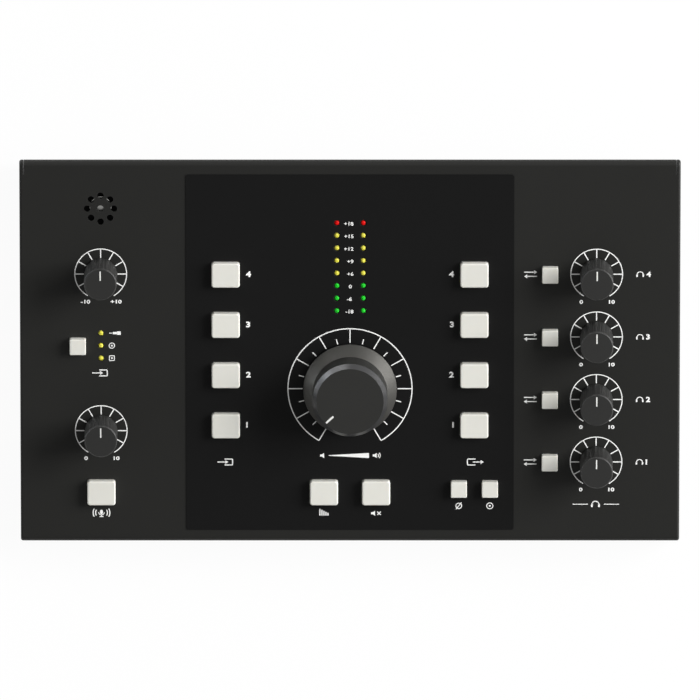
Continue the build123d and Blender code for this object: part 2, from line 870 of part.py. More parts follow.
def knob_bore(recess_top):
    """D-shaped hole that grips the shaft's flat."""
    return Pos(0, 0, recess_top) * shaft_profile(
        shaft_radius + knob_bore_gap, shaft_flat + knob_bore_gap, knob_grip_depth
    )


def make_small_knob():
    """Straight fluted knob with an inlaid pointer groove towards the rear."""
    height = small_knob_top - small_knob_lift
    knob = Pos(0, 0, small_knob_lift) * Cylinder(small_knob_radius, height, align=on_base)
    flute_circle = small_knob_radius + flute_radius - flute_depth
    flute = Pos(0, 0, small_knob_lift) * Cylinder(
        flute_radius, height - 2 * small_knob_chamfer, align=on_base
    )
    knob = chamfer(knob.edges().sort_by(Axis.Z)[-1], small_knob_chamfer)
    knob -= [place * flute for place in PolarLocations(flute_circle, flute_count)]
    recess = Cylinder(small_recess_radius, 2 * small_recess_top)
    groove_outer = small_knob_radius - small_pointer_rim
    groove = Pos(0, groove_outer - small_pointer_length / 2, small_knob_top) * Box(
        small_pointer_width, small_pointer_length, 2 * pointer_depth
    )
    return knob - recess - knob_bore(small_recess_top) - groove


def make_main_knob():
    """Large skirted knob, turned so that its pointer rests near the low end of the scale."""
    inner_skirt = main_skirt_radius - main_skirt_wall
    inner_neck = main_neck_radius - main_skirt_wall
    inner_top = main_skirt_top - main_skirt_wall
    outline = Polygon(
        (0, main_knob_top),
        (main_face_radius, main_knob_top),
        (main_neck_radius, main_chamfer_start),
        (main_neck_radius, main_skirt_top),
        (main_skirt_radius, main_skirt_rim),
        (main_skirt_radius, main_knob_lift),
        (inner_skirt, main_knob_lift),
        (inner_neck, inner_top),
        (main_hub_radius, inner_top),
        (main_hub_radius, main_knob_lift),
        (main_recess_radius, main_knob_lift),
        (main_recess_radius, main_recess_top),
        (0, main_recess_top),
        align=None,
    )
    knob = revolve(Plane.XZ * outline, Axis.Z)
    length = main_pointer_outer - main_pointer_inner
    groove = Pos(0, main_pointer_inner + length / 2, main_knob_top) * Box(
        main_pointer_width, length, 2 * pointer_depth
    )
    return knob - knob_bore(main_recess_top) - Rot(0, 0, main_pointer_turn) * groove


# ---------------------------------------------------------------- buttons, lamps, microphone
def make_button(size_u, size_v, corner, edge):
    """Moulded cap on a square stem that reaches down into its switch."""
    block = extrude(RectangleRounded(size_u, size_v, corner), amount=cap_height + cap_skirt)
    cap = Pos(0, 0, -cap_skirt) * block
    cap = fillet(cap.faces().sort_by(Axis.Z)[-1].edges(), edge)
    hollow = Pos(0, 0, cap_height - cap_roof) * Box(
        size_u - 2 * cap_wall, size_v - 2 * cap_wall, 4 * cap_skirt, align=from_top
    )
    stem = Pos(0, 0, cap_height - cap_roof) * Box(
        stem_size, stem_size, cap_height - cap_roof + stem_depth, align=from_top
    )
    return cap - hollow + stem


def make_switch_housings():
    """Switch cases on the control board, each with a square well for its stem."""
    well = Pos(0, 0, switch_height) * Box(well_size, well_size, switch_pocket, align=from_top)
    large = Box(big_switch_size, big_switch_size, switch_height, align=on_base) - well
    small = Box(small_switch_size, small_switch_size, switch_height, align=on_base) - well
    cases = [on_panel(u, v, w_board) * large for u, v in big_buttons.values()]
    cases += [on_panel(u, v, w_board) * small for u, v in small_buttons.values()]
    return group(cases)


def make_leds(places):
    """Round lamps with a domed top and two legs down to the control board."""
    lens = Pos(0, 0, -led_bottom) * Cylinder(
        led_radius, led_bottom + led_proud, align=on_base
    )
    lens = fillet(lens.edges().sort_by(Axis.Z)[-1], led_dome * led_radius)
    flange = Pos(0, 0, -led_bottom) * Cylinder(
        led_radius + led_flange_rim, led_flange_thickness, align=on_base
    )
    leg = Pos(0, 0, w_board) * Box(led_leg, led_leg, -w_board - led_bottom, align=on_base)
    lamp = lens + flange
    for side in (-1, 1):
        lamp += Pos(0, side * led_leg_spacing / 2, 0) * leg
    return group(on_panel(u, v) * lamp for u, v in places)


def make_mic_boot():
    """Rubber cup that holds the microphone against the back of the panel."""
    boot = Pos(0, 0, -sheet) * Cylinder(boot_radius, board_gap, align=from_top)
    capsule_bottom = sheet + mic_depth + mic_length
    well = Pos(0, 0, -capsule_bottom) * Cylinder(
        mic_radius + running_gap, mic_length + mic_depth, align=on_base
    )
    mouth = Pos(0, 0, -sheet) * Cylinder(boot_mouth_radius, mic_depth, align=from_top)
    return on_panel(side_knob_u, mic_v) * (boot - well - mouth)


def make_mic_capsule():
    """Round electret capsule with a rolled front edge."""
    can = Pos(0, 0, -sheet - mic_depth) * Cylinder(mic_radius, mic_length, align=from_top)
    can = fillet(can.edges().sort_by(Axis.Z)[-1], mic_edge)
    return on_panel(side_knob_u, mic_v) * can


# ---------------------------------------------------------------- nodes
nodes = {
    "top_shell": make_top_shell(),
    "centre_overlay": make_centre_overlay(),
    "base_tray": make_base_tray(),
    "rear_panel": make_rear_panel(),
    "case_brackets": make_case_brackets(),
    "machine_screws": make_machine_screws(),
    "rubber_feet": make_rubber_feet(),
    "control_board": make_control_board(),
    "main_board": make_main_board(),
    "jack_board": make_jack_board(),
    "board_standoffs": make_board_standoffs(),
    "board_components": make_board_components(),
    "ribbon_cable": make_ribbon_cable(),
    "pot_bodies": make_pot_bodies(),
    "pot_nuts": make_pot_nuts(),
    "switch_housings": make_switch_housings(),
    "red_leds": make_leds(red_places),
    "yellow_leds": make_leds(yellow_places),
    "green_leds": make_leds(green_places),
    "mic_capsule": make_mic_capsule(),
    "mic_boot": make_mic_boot(),
    "jack_bodies": make_jack_bodies(),
    "jack_nuts": make_jack_nuts(),
    "coax_socket": make_coax_socket(),
    "optical_socket": make_optical_socket(),
    "dc_inlet": make_dc_inlet(),
    "power_switch_housing": make_power_switch_housing(),
    "power_rocker": make_power_rocker(),
    "main_volume_knob": on_panel(0, main_knob_v) * make_main_knob(),
    "main_volume_shaft": on_panel(0, main_knob_v) * make_shaft(main_recess_top),
}
small_knob = make_small_knob()
small_shaft = make_shaft(small_recess_top)
for name, (u, v) in small_knobs.items():
    nodes[f"{name}_knob"] = on_panel(u, v) * small_knob
    nodes[f"{name}_shaft"] = on_panel(u, v) * small_shaft
big_button = make_button(big_cap_u, big_cap_v, big_cap_corner, big_cap_edge)
small_button = make_button(small_cap_size, small_cap_size, small_cap_corner, small_cap_edge)
for name, (u, v) in big_buttons.items():
    nodes[name] = on_panel(u, v) * big_button
for name, (u, v) in small_buttons.items():
    nodes[name] = on_panel(u, v) * small_button

for name, shape in nodes.items():
    export_step(shape, f"parts/{name}.step")
print(len(nodes), "nodes written")
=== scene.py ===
# %% [markdown]
# # Finishing a desktop monitor controller
#
# A monitor controller stands on a desk between a computer and its loudspeakers. A folded steel case
# slopes up to the rear, and its panel holds one large volume knob, six small level knobs, eighteen key
# caps, a lamp meter and a small microphone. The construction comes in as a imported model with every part
# at its real size. Here it gets what a maker adds last: paint, print, moulded plastic, metal and light.

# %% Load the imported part
import json
from math import atan2, cos, degrees, pi, radians, sin

import bmesh
import bpy
import numpy as np
from mathutils import Matrix, Vector


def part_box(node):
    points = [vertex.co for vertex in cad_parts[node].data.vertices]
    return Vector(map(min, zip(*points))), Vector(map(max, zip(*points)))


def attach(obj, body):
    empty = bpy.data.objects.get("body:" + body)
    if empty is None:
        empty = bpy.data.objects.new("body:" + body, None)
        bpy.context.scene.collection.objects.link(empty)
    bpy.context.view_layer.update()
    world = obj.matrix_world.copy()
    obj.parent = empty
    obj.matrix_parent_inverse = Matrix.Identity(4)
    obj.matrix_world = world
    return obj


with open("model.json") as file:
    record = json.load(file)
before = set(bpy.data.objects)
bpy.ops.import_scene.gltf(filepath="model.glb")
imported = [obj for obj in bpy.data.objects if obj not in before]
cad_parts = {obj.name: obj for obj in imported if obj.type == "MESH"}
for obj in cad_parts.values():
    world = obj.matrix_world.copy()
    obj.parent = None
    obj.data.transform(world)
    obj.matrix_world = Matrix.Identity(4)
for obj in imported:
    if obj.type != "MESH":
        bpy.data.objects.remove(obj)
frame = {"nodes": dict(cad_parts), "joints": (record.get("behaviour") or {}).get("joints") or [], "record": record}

MM = 0.001
nodes = frame["nodes"]
joints = {joint["name"]: joint for joint in frame["joints"]}
mounts = {mount["name"]: mount for mount in frame["record"]["mounts"]}
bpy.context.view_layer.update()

# %% [markdown]
# ## The panel's own axes
#
# Everything that a hand touches sits square to the sloping panel, so places are easiest to give there:
# u across, v up the slope from the front edge, and w out of the paint, all in millimetres. The volume
# knob's axis is the panel's normal and starts on the painted face, which is enough to find the axes.

# %% Build the panel's axes from the volume knob
across = Vector((1, 0, 0))
outward = Vector(joints["main_volume_turn"]["axis"]).normalized()
up_slope = outward.cross(across)
face_point = Vector(joints["main_volume_turn"]["pos_m"])
front_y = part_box("top_shell")[0].y
panel_origin = face_point - up_slope * ((face_point.y - front_y) / up_slope.y)


def axes(origin, right, up, out):
    """The matrix that takes millimetres on three axes to metres in the scene."""
    turn = Matrix((right, up, out)).transposed()
    return Matrix.Translation(origin) @ turn.to_4x4() @ Matrix.Scale(MM, 4)


panel = axes(panel_origin, across, up_slope, outward)
panel_turn = panel.to_euler()


def reach(name):
    """Lowest and highest (u, v, w) of a CAD node."""
    local = np.array([panel.inverted() @ vertex.co for vertex in nodes[name].data.vertices])
    return Vector(local.min(0)), Vector(local.max(0))


def place_of(joint_name):
    """Where a joint's point lies on the panel, as (u, v)."""
    return (panel.inverted() @ Vector(joints[joint_name]["pos_m"])).xy


print("panel starts at", tuple(panel_origin), "volume knob at", tuple(place_of("main_volume_turn")))

# %% [markdown]
# ## Camera
#
# The panel is read from straight above, so the camera looks straight down. A very long lens from far
# away keeps the sides of the case parallel, as a flat plan view does. How far away follows from how wide
# the view is at the height of the sloping panel's middle.

# %% Set the camera
view_width = 0.29485
view_plane = 0.0435
view_y = 0.0002
lens = 1000.0
sensor = 36.0
nearest_seen = 0.1
farthest_seen = 20.0
bpy.ops.object.camera_add(location=(0, view_y, view_plane + view_width * lens / sensor))
camera = bpy.context.object
camera.data.lens = lens
camera.data.sensor_width = sensor
camera.data.clip_start = nearest_seen
camera.data.clip_end = farthest_seen
bpy.context.scene.camera = camera
bpy.context.scene.view_settings.view_transform = "Standard"
print("camera height", round(camera.location.z, 3))

# %% [markdown]
# ## Working by hand
#
# Each new piece is drawn in millimetres round the origin: it starts from a primitive, is shaped in edit
# mode and is then laid in its place at real size. These few helpers do what the mouse would: pick one
# piece, open it, select by place, close it, lay it down.


# %% Helpers that select, open and close a piece
def only(piece):
    """Makes a piece the only selected one, and the active one."""
    bpy.ops.object.select_all(action="DESELECT")
    piece.select_set(True)
    bpy.context.view_layer.objects.active = piece


def freeze(piece):
    """Moves the object's place, turn and size into its mesh."""
    only(piece)
    bpy.ops.object.transform_apply(location=True, rotation=True, scale=True)
    return piece


def edit(piece):
    """Opens a piece in edit mode with everything selected."""
    only(piece)
    bpy.ops.object.mode_set(mode="EDIT")
    bpy.ops.mesh.select_mode(type="VERT")
    bpy.ops.mesh.select_all(action="SELECT")


def pick(piece, kind, test):
    """In edit mode, selects the vertices, edges or faces that pass a test."""
    bpy.ops.mesh.select_mode(type=kind)
    bpy.ops.mesh.select_all(action="DESELECT")
    shape = bmesh.from_edit_mesh(piece.data)
    parts = {"VERT": shape.verts, "EDGE": shape.edges, "FACE": shape.faces}[kind]
    for part in parts:
        part.select_set(bool(test(part)))
    bmesh.update_edit_mesh(piece.data)


merge_distance = 0.001


def close(piece):
    """Merges doubles, turns faces outwards and leaves edit mode."""
    bpy.ops.mesh.select_all(action="SELECT")
    bpy.ops.mesh.remove_doubles(threshold=merge_distance)
    bpy.ops.mesh.normals_make_consistent(inside=False)
    bpy.ops.object.mode_set(mode="OBJECT")
    return piece


# %% Helpers that copy, join and place pieces
def twin(piece, change):
    """A copy with its own mesh, changed by a matrix within that mesh."""
    other = piece.copy()
    other.data = piece.data.copy()
    other.data.transform(change)
    bpy.context.collection.objects.link(other)
    return other


def join(pieces):
    """Makes several pieces one."""
    only(pieces[0])
    for piece in pieces[1:]:
        piece.select_set(True)
    bpy.ops.object.join()
    return bpy.context.object


def moved(piece, x, y, turn=0):
    """Turns a drawn piece by degrees round the origin, then shifts it."""
    piece.data.transform(Matrix.Translation((x, y, 0)) @ Matrix.Rotation(radians(turn), 4, "Z"))
    return piece


def lay(piece, surface_axes, u, v, w=0.0):
    """Lays a drawn piece on a surface of the case, at its real size."""
    piece.matrix_world = surface_axes @ Matrix.Translation((u, v, w))
    return freeze(piece)


def keep(piece, name, material, body):
    """Names a finished piece, paints it and fixes it to the part that carries it."""
    piece.name = name
    piece.data.name = name
    piece.data.materials.clear()
    piece.data.materials.append(material)
    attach(piece, body)
    print("made", name, "on", body)


# %% [markdown]
# ## Shared effects
#
# Nearly every surface here has a fine grain: orange peel in powder coat, spark texture in a mould,
# blasting on aluminium. One node group makes it from two sizes of noise. A second finds edges, where
# hands rub paint thin, by comparing the true normal with one that is rounded over a small radius.


# %% Helpers for node trees
def new_group(name, inputs, outputs):
    """An empty shader group with named sockets."""
    group = bpy.data.node_groups.new(name, "ShaderNodeTree")
    for label, kind, value in inputs:
        socket = group.interface.new_socket(label, in_out="INPUT", socket_type=kind)
        socket.default_value = value
    for label, kind in outputs:
        group.interface.new_socket(label, in_out="OUTPUT", socket_type=kind)
    start = group.nodes.new("NodeGroupInput")
    end = group.nodes.new("NodeGroupOutput")
    return group, start, end


def node(tree, kind, **settings):
    """Adds a node and sets its properties."""
    made = tree.nodes.new(kind)
    for key, value in settings.items():
        setattr(made, key, value)
    return made


# %% Node group: fine grain
grain_group, start, end = new_group(
    "fine_grain",
    [
        ("Cells per metre", "NodeSocketFloat", 2500.0),
        ("Broad cells per metre", "NodeSocketFloat", 60.0),
        ("Stretch", "NodeSocketVector", (1.0, 1.0, 1.0)),
    ],
    [("Fine", "NodeSocketFloat"), ("Broad", "NodeSocketFloat")],
)
place = node(grain_group, "ShaderNodeTexCoord")
stretch = node(grain_group, "ShaderNodeVectorMath", operation="MULTIPLY")
fine = node(grain_group, "ShaderNodeTexNoise")
fine.inputs["Detail"].default_value = 2.0
broad = node(grain_group, "ShaderNodeTexNoise")
broad.inputs["Detail"].default_value = 3.0
link = grain_group.links.new
link(place.outputs["Object"], stretch.inputs[0])
link(start.outputs["Stretch"], stretch.inputs[1])
link(stretch.outputs[0], fine.inputs["Vector"])
link(place.outputs["Object"], broad.inputs["Vector"])
link(start.outputs["Cells per metre"], fine.inputs["Scale"])
link(start.outputs["Broad cells per metre"], broad.inputs["Scale"])
link(fine.outputs["Fac"], end.inputs["Fine"])
link(broad.outputs["Fac"], end.inputs["Broad"])
print("made", grain_group.name)

# %% Node group: rubbed edges
edge_group, start, end = new_group(
    "rubbed_edges",
    [
        ("Radius", "NodeSocketFloat", 0.4 * MM),
        ("Breakup per metre", "NodeSocketFloat", 700.0),
    ],
    [("Mask", "NodeSocketFloat")],
)
rounded = node(edge_group, "ShaderNodeBevel", samples=4)
true_normal = node(edge_group, "ShaderNodeNewGeometry")
likeness = node(edge_group, "ShaderNodeVectorMath", operation="DOT_PRODUCT")
sharpness = node(edge_group, "ShaderNodeMapRange")
sharpness.inputs["From Min"].default_value = 0.995
sharpness.inputs["From Max"].default_value = 0.90
place = node(edge_group, "ShaderNodeTexCoord")
patches = node(edge_group, "ShaderNodeTexNoise")
patches.inputs["Detail"].default_value = 4.0
worn_part = node(edge_group, "ShaderNodeMapRange")
worn_part.inputs["From Min"].default_value = 0.35
worn_part.inputs["From Max"].default_value = 0.65
mask = node(edge_group, "ShaderNodeMath", operation="MULTIPLY")
link = edge_group.links.new
link(start.outputs["Radius"], rounded.inputs["Radius"])
link(rounded.outputs["Normal"], likeness.inputs[0])
link(true_normal.outputs["Normal"], likeness.inputs[1])
link(likeness.outputs["Value"], sharpness.inputs["Value"])
link(place.outputs["Object"], patches.inputs["Vector"])
link(start.outputs["Breakup per metre"], patches.inputs["Scale"])
link(patches.outputs["Fac"], worn_part.inputs["Value"])
link(sharpness.outputs["Result"], mask.inputs[0])
link(worn_part.outputs["Result"], mask.inputs[1])
link(mask.outputs[0], end.inputs["Mask"])
print("made", edge_group.name)

# %% [markdown]
# ## One recipe for most finishes
#
# A finish is a colour that drifts a little, a roughness that drifts with the grain, and a relief. The
# recipe below builds those from the shared groups. What makes a finish its own, such as the tracks of a
# board, the ribs of a cable or the zones of a turned knob, is added to the same tree afterwards.


# %% Colours
def tone(red, green, blue):
    """A display colour, 0 to 255, as the linear colour that a shader takes."""
    def linear(value):
        share = value / 255
        return share / 12.92 if share <= 0.04045 else ((share + 0.055) / 1.055) ** 2.4
    return (linear(red), linear(green), linear(blue), 1.0)


def scaled(colour, factor):
    """The same colour, lighter or darker."""
    return tuple(min(1.0, channel * factor) for channel in colour[:3]) + (1.0,)


# %% The recipe
def surface(
    name, colour, roughness, metallic=0.0, specular=0.5, cell=0.35 * MM, relief=0.01 * MM,
    drift=0.06, rough_drift=0.06, stretch=(1, 1, 1), rubbed=None, rubbed_radius=0.35 * MM, broad=60.0,
):
    """A grained finish. Cell is the width of a grain and relief its depth, drift is how far the colour
    wanders, and rubbed is the colour that shows where edges are worn."""
    material = bpy.data.materials.new(name)
    material.use_nodes = True
    tree = material.node_tree
    shader = tree.nodes["Principled BSDF"]
    shader.inputs["Metallic"].default_value = metallic
    shader.inputs["Specular IOR Level"].default_value = specular
    grain = node(tree, "ShaderNodeGroup", node_tree=grain_group, name="grain")
    grain.inputs["Cells per metre"].default_value = 1 / cell
    grain.inputs["Broad cells per metre"].default_value = broad
    grain.inputs["Stretch"].default_value = stretch
    blend = node(tree, "ShaderNodeMix", data_type="RGBA", name="colour")
    blend.inputs["A"].default_value = scaled(colour, 1 - drift)
    blend.inputs["B"].default_value = scaled(colour, 1 + drift)
    rough = node(tree, "ShaderNodeMapRange", name="rough")
    rough.inputs["To Min"].default_value = roughness - rough_drift
    rough.inputs["To Max"].default_value = roughness + rough_drift
    bump = node(tree, "ShaderNodeBump", name="relief")
    bump.inputs["Distance"].default_value = relief
    link = tree.links.new
    link(grain.outputs["Broad"], blend.inputs["Factor"])
    link(grain.outputs["Fine"], rough.inputs["Value"])
    link(grain.outputs["Fine"], bump.inputs["Height"])
    link(blend.outputs["Result"], shader.inputs["Base Color"])
    link(rough.outputs["Result"], shader.inputs["Roughness"])
    link(bump.outputs["Normal"], shader.inputs["Normal"])
    if rubbed:
        edges = node(tree, "ShaderNodeGroup", node_tree=edge_group, name="edges")
        edges.inputs["Radius"].default_value = rubbed_radius
        over(tree, edges.outputs["Mask"], rubbed)
    return material


# %% A second colour on top, and the finishes by slot
def over(tree, mask, colour):
    """Lays a second colour over the base colour where a mask is white."""
    shader = tree.nodes["Principled BSDF"]
    before = shader.inputs["Base Color"].links[0].from_socket
    top = node(tree, "ShaderNodeMix", data_type="RGBA")
    top.inputs["B"].default_value = colour
    tree.links.new(mask, top.inputs["Factor"])
    tree.links.new(before, top.inputs["A"])
    tree.links.new(top.outputs["Result"], shader.inputs["Base Color"])


finishes = {}


def finish(slot, *settings, **named):
    """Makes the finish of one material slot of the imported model."""
    finishes[slot] = surface(slot, *settings, **named)
    return finishes[slot].node_tree


# %% [markdown]
# ## Paint, film and metal of the case
#
# The cover is steel in a charcoal powder coat: dull, faintly pebbled, and a shade lighter where its
# folded edges are handled. The film behind the middle controls is a darker printed polyester with a
# velvet face. The parts under and behind get a plainer coat, and hidden brackets stay bright zinc.

# %% Case finishes
finish("case_paint", tone(29, 29, 27), 0.50, specular=0.32, cell=0.42 * MM, relief=0.028 * MM,
       drift=0.05, rubbed=tone(54, 54, 54))
finish("overlay_film", tone(19, 19, 19), 0.42, specular=0.16, cell=0.16 * MM, relief=0.005 * MM,
       drift=0.04)
finish("tray_paint", tone(34, 34, 35), 0.56, specular=0.25, cell=0.5 * MM, relief=0.035 * MM,
       rubbed=tone(70, 70, 72))
finish("rear_panel_paint", tone(30, 30, 31), 0.48, specular=0.25, cell=0.38 * MM, relief=0.024 * MM,
       rubbed=tone(66, 66, 68))
finish("zinc_steel", tone(168, 170, 172), 0.38, metallic=1.0, cell=3.0 * MM, relief=0.01 * MM, drift=0.18)
finish("screw_steel", tone(52, 52, 54), 0.36, metallic=0.85, cell=0.25 * MM, relief=0.006 * MM, drift=0.1,
       rubbed=tone(120, 118, 114), rubbed_radius=0.2 * MM)
finish("foot_rubber", tone(24, 24, 25), 0.82, specular=0.3, cell=0.3 * MM, relief=0.03 * MM, drift=0.1)
print(len(finishes), "finishes so far")

# %% [markdown]
# ## Parts inside
#
# Boards, pots, switches and the flat cable are seen only through gaps or when the case is opened, but
# they are finished too: a green solder mask with tracks, ribbed cable, stamped and plated metal. The
# gaps of a brick pattern serve as tracks, and the crests of a wave pattern as the cable's ribs.

# %% Circuit board
tree = finish("circuit_board", tone(22, 66, 42), 0.34, specular=0.5, cell=0.9 * MM, relief=0.004 * MM,
              drift=0.12)
place = node(tree, "ShaderNodeTexCoord")
tracks = node(tree, "ShaderNodeTexBrick", offset=0.37, squash=0.6)
tracks.inputs["Scale"].default_value = 90.0
tracks.inputs["Mortar Size"].default_value = 0.035
tracks.inputs["Color1"].default_value = (0, 0, 0, 1)
tracks.inputs["Color2"].default_value = (0, 0, 0, 1)
tracks.inputs["Mortar"].default_value = (1, 1, 1, 1)
tree.links.new(place.outputs["Object"], tracks.inputs["Vector"])
over(tree, tracks.outputs["Color"], tone(48, 104, 66))
print("track pattern scale", tracks.inputs["Scale"].default_value)

# %% Flat cable
tree = finish("ribbon_plastic", tone(126, 128, 130), 0.45, cell=0.6 * MM, relief=0.15 * MM)
place = node(tree, "ShaderNodeTexCoord")
ribs = node(tree, "ShaderNodeTexWave", wave_type="BANDS", bands_direction="X")
ribs.inputs["Scale"].default_value = 250.0
tree.links.new(place.outputs["Object"], ribs.inputs["Vector"])
tree.links.new(ribs.outputs["Fac"], tree.nodes["relief"].inputs["Height"])
over(tree, ribs.outputs["Fac"], tone(96, 98, 101))
print("rib pattern scale", ribs.inputs["Scale"].default_value)

# %% Plastic, rubber and metal of the smaller parts
finish("component_plastic", tone(30, 30, 32), 0.44, cell=0.25 * MM, relief=0.008 * MM, drift=0.15)
finish("switch_plastic", tone(26, 26, 27), 0.5, cell=0.22 * MM, relief=0.01 * MM)
finish("pot_metal", tone(150, 148, 142), 0.34, metallic=1.0, cell=0.3 * MM, stretch=(0.1, 1, 1),
       relief=0.006 * MM, drift=0.1)
finish("nut_nickel", tone(172, 166, 156), 0.26, metallic=1.0, cell=0.2 * MM, relief=0.004 * MM, drift=0.08,
       rubbed=tone(205, 200, 190), rubbed_radius=0.25 * MM)
finish("coax_nickel", tone(182, 176, 166), 0.2, metallic=1.0, cell=0.2 * MM, relief=0.003 * MM, drift=0.06)
finish("shaft_metal", tone(160, 160, 162), 0.3, metallic=1.0, cell=0.2 * MM, relief=0.004 * MM,
       stretch=(1, 1, 0.1))
finish("mic_metal", tone(236, 236, 232), 0.25, metallic=1.0, cell=0.35 * MM, relief=0.012 * MM, drift=0.05,
       rough_drift=0.05)
finish("boot_rubber", tone(20, 20, 21), 0.85, specular=0.2, cell=0.3 * MM, relief=0.02 * MM)
finish("socket_plastic", tone(17, 17, 18), 0.3, cell=0.3 * MM, relief=0.006 * MM, drift=0.1)
finish("rocker_plastic", tone(20, 20, 21), 0.36, cell=0.25 * MM, relief=0.01 * MM)
print(len(finishes), "finishes so far")

# %% [markdown]
# ## Lamps
#
# The lamps of the meter and the status column are small domes of tinted, cloudy resin. They are unlit,
# so their colour comes from light that soaks in and comes back, under a skin with a soft shine. The key
# caps let a little light in as well, so both use one helper.


# %% Lamp resin
def soak(tree, weight, depth, spread):
    """Lets light into a finish. Depth is how far it goes in, and spread how far red, green and blue do."""
    shader = tree.nodes["Principled BSDF"]
    shader.inputs["Subsurface Weight"].default_value = weight
    shader.inputs["Subsurface Scale"].default_value = depth
    shader.inputs["Subsurface Radius"].default_value = spread


lamp_colours = {
    "red_lens": tone(212, 16, 13),
    "yellow_lens": tone(222, 214, 84),
    "green_lens": tone(38, 197, 50),
}
for slot, colour in lamp_colours.items():
    tree = finish(slot, colour, 0.52, specular=0.14, cell=0.5 * MM, relief=0.004 * MM, drift=0.08)
    soak(tree, 1.0, 1.5 * MM, (1.0, 1.0, 1.0))
print("lamp resins", list(lamp_colours))

# %% [markdown]
# ## Key caps
#
# The caps are moulded in a warm white, satin and a little translucent at their rounded rims. The mould's
# texture is very fine, so the finish is nearly smooth.

# %% Cap plastic
tree = finish("button_plastic", tone(226, 225, 217), 0.42, specular=0.45, cell=0.3 * MM, relief=0.006 * MM,
              drift=0.015, broad=150.0)
soak(tree, 0.12, 0.8 * MM, (1.0, 0.9, 0.75))
print(len(finishes), "finishes so far")

# %% [markdown]
# ## Knobs
#
# The small knobs are dark moulded plastic with flutes for the fingers. The volume knob is turned from
# aluminium, blasted, and dyed near black, in four zones: a coarser skirt that catches side light, the
# neck, a bevel that is cut after dyeing, so it is smoother and brighter, and the face. A zone is found
# by its height on the knob's own axis, which a Mapping node gives by undoing the panel's place and tilt.

# %% Knob finishes
finish("knob_plastic", tone(40, 40, 39), 0.5, specular=0.35, cell=0.28 * MM, relief=0.014 * MM, drift=0.05,
       rubbed=tone(104, 104, 102), rubbed_radius=0.3 * MM)
knob_grey = (0.95, 0.95, 0.95, 1)
tree = finish("main_knob_finish", knob_grey, 0.0, metallic=0.85, cell=0.34 * MM,
              relief=0.02 * MM, drift=0.05, rough_drift=0.05)
print(len(finishes), "finishes in all")

# %% Height on the volume knob, as a share of the scale that the zones use
zone_scale = 25 * MM
place = node(tree, "ShaderNodeTexCoord")
own = node(tree, "ShaderNodeMapping", vector_type="TEXTURE")
own.inputs["Location"].default_value = face_point
own.inputs["Rotation"].default_value = panel_turn
height = node(tree, "ShaderNodeSeparateXYZ")
share = node(tree, "ShaderNodeMath", operation="DIVIDE")
share.inputs[1].default_value = zone_scale
link = tree.links.new
link(place.outputs["Object"], own.inputs["Vector"])
link(own.outputs["Vector"], height.inputs["Vector"])
link(height.outputs["Z"], share.inputs[0])
print("heights start at", tuple(round(value, 4) for value in face_point))

# %% Zones of the volume knob: the height in millimetres where each starts, its colour and roughness
zones = {
    "skirt": (0.0, tone(100, 99, 96), 0.48),
    "neck": (7.75, tone(87, 87, 85), 0.43),
    "bevel": (18.9, tone(101, 101, 102), 0.30),
    "face": (21.25, tone(75, 75, 73), 0.41),
}


def zone_ramp(name, colours):
    """A ramp that gives each zone of the volume knob its own colour, with sharp borders."""
    ramp = node(tree, "ShaderNodeValToRGB", name=name)
    ramp.color_ramp.interpolation = "CONSTANT"
    steps = ramp.color_ramp.elements
    steps.remove(steps[1])
    for (low, _, _), colour in zip(zones.values(), colours):
        step = steps[0] if low == 0 else steps.new(low * MM / zone_scale)
        step.color = colour
    link(share.outputs[0], ramp.inputs["Fac"])
    return ramp.outputs["Color"]


zone_tone = node(tree, "ShaderNodeMix", data_type="RGBA", blend_type="MULTIPLY")
zone_tone.inputs["Factor"].default_value = 1.0
zone_rough = node(tree, "ShaderNodeMath", operation="ADD")
shader = tree.nodes["Principled BSDF"]
link(zone_ramp("zone_colours", [colour for _, colour, _ in zones.values()]), zone_tone.inputs["A"])
link(tree.nodes["colour"].outputs["Result"], zone_tone.inputs["B"])
link(zone_tone.outputs["Result"], shader.inputs["Base Color"])
link(zone_ramp("zone_roughness", [(r, r, r, 1) for _, _, r in zones.values()]), zone_rough.inputs[0])
link(tree.nodes["rough"].outputs["Result"], zone_rough.inputs[1])
link(zone_rough.outputs[0], shader.inputs["Roughness"])
print("volume knob zones", list(zones))

# %% [markdown]
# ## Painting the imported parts
#
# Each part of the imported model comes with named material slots. Its mesh and its place stay as they are,
# and every slot gets the finish that was made under the slot's name.

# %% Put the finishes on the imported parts
for part in nodes.values():
    for material_slot in part.material_slots:
        material_slot.material = finishes[material_slot.material.name.split(".")[0]]
print("painted", len(nodes), "parts with", len(finishes), "finishes")

# %% [markdown]
# ## Printed scales
#
# The scales are silk-screened in white: a ring that is open at the bottom, with a tick every thirty
# degrees. Ink has a real thickness, so each line is a thin raised strip. A ring is a small upright
# rectangle that is spun round the knob's centre, and a tick is a bar with softened ends.

# %% Ink, and a bar of it
INK = 0.05
corner_share = 0.3
panel_ink = surface("panel_ink", tone(251, 251, 249), 0.45, specular=0.3, cell=0.25 * MM,
                    relief=0.004 * MM, drift=0.02)
print("ink is", INK, "mm thick")


def slab(length, width, soft, thick=INK):
    """A flat bar along +X from the origin, its four corners rounded by a radius."""
    bpy.ops.mesh.primitive_cube_add(
        size=1, location=(length / 2, 0, thick / 2), scale=(length, width, thick)
    )
    piece = freeze(bpy.context.object)
    edit(piece)
    pick(piece, "EDGE", lambda edge: abs(edge.verts[0].co.z - edge.verts[1].co.z) > thick / 2)
    bpy.ops.mesh.bevel(offset=soft, segments=3)
    return close(piece)


# %% A bent strip, and ticks round a centre
full_turn = 360


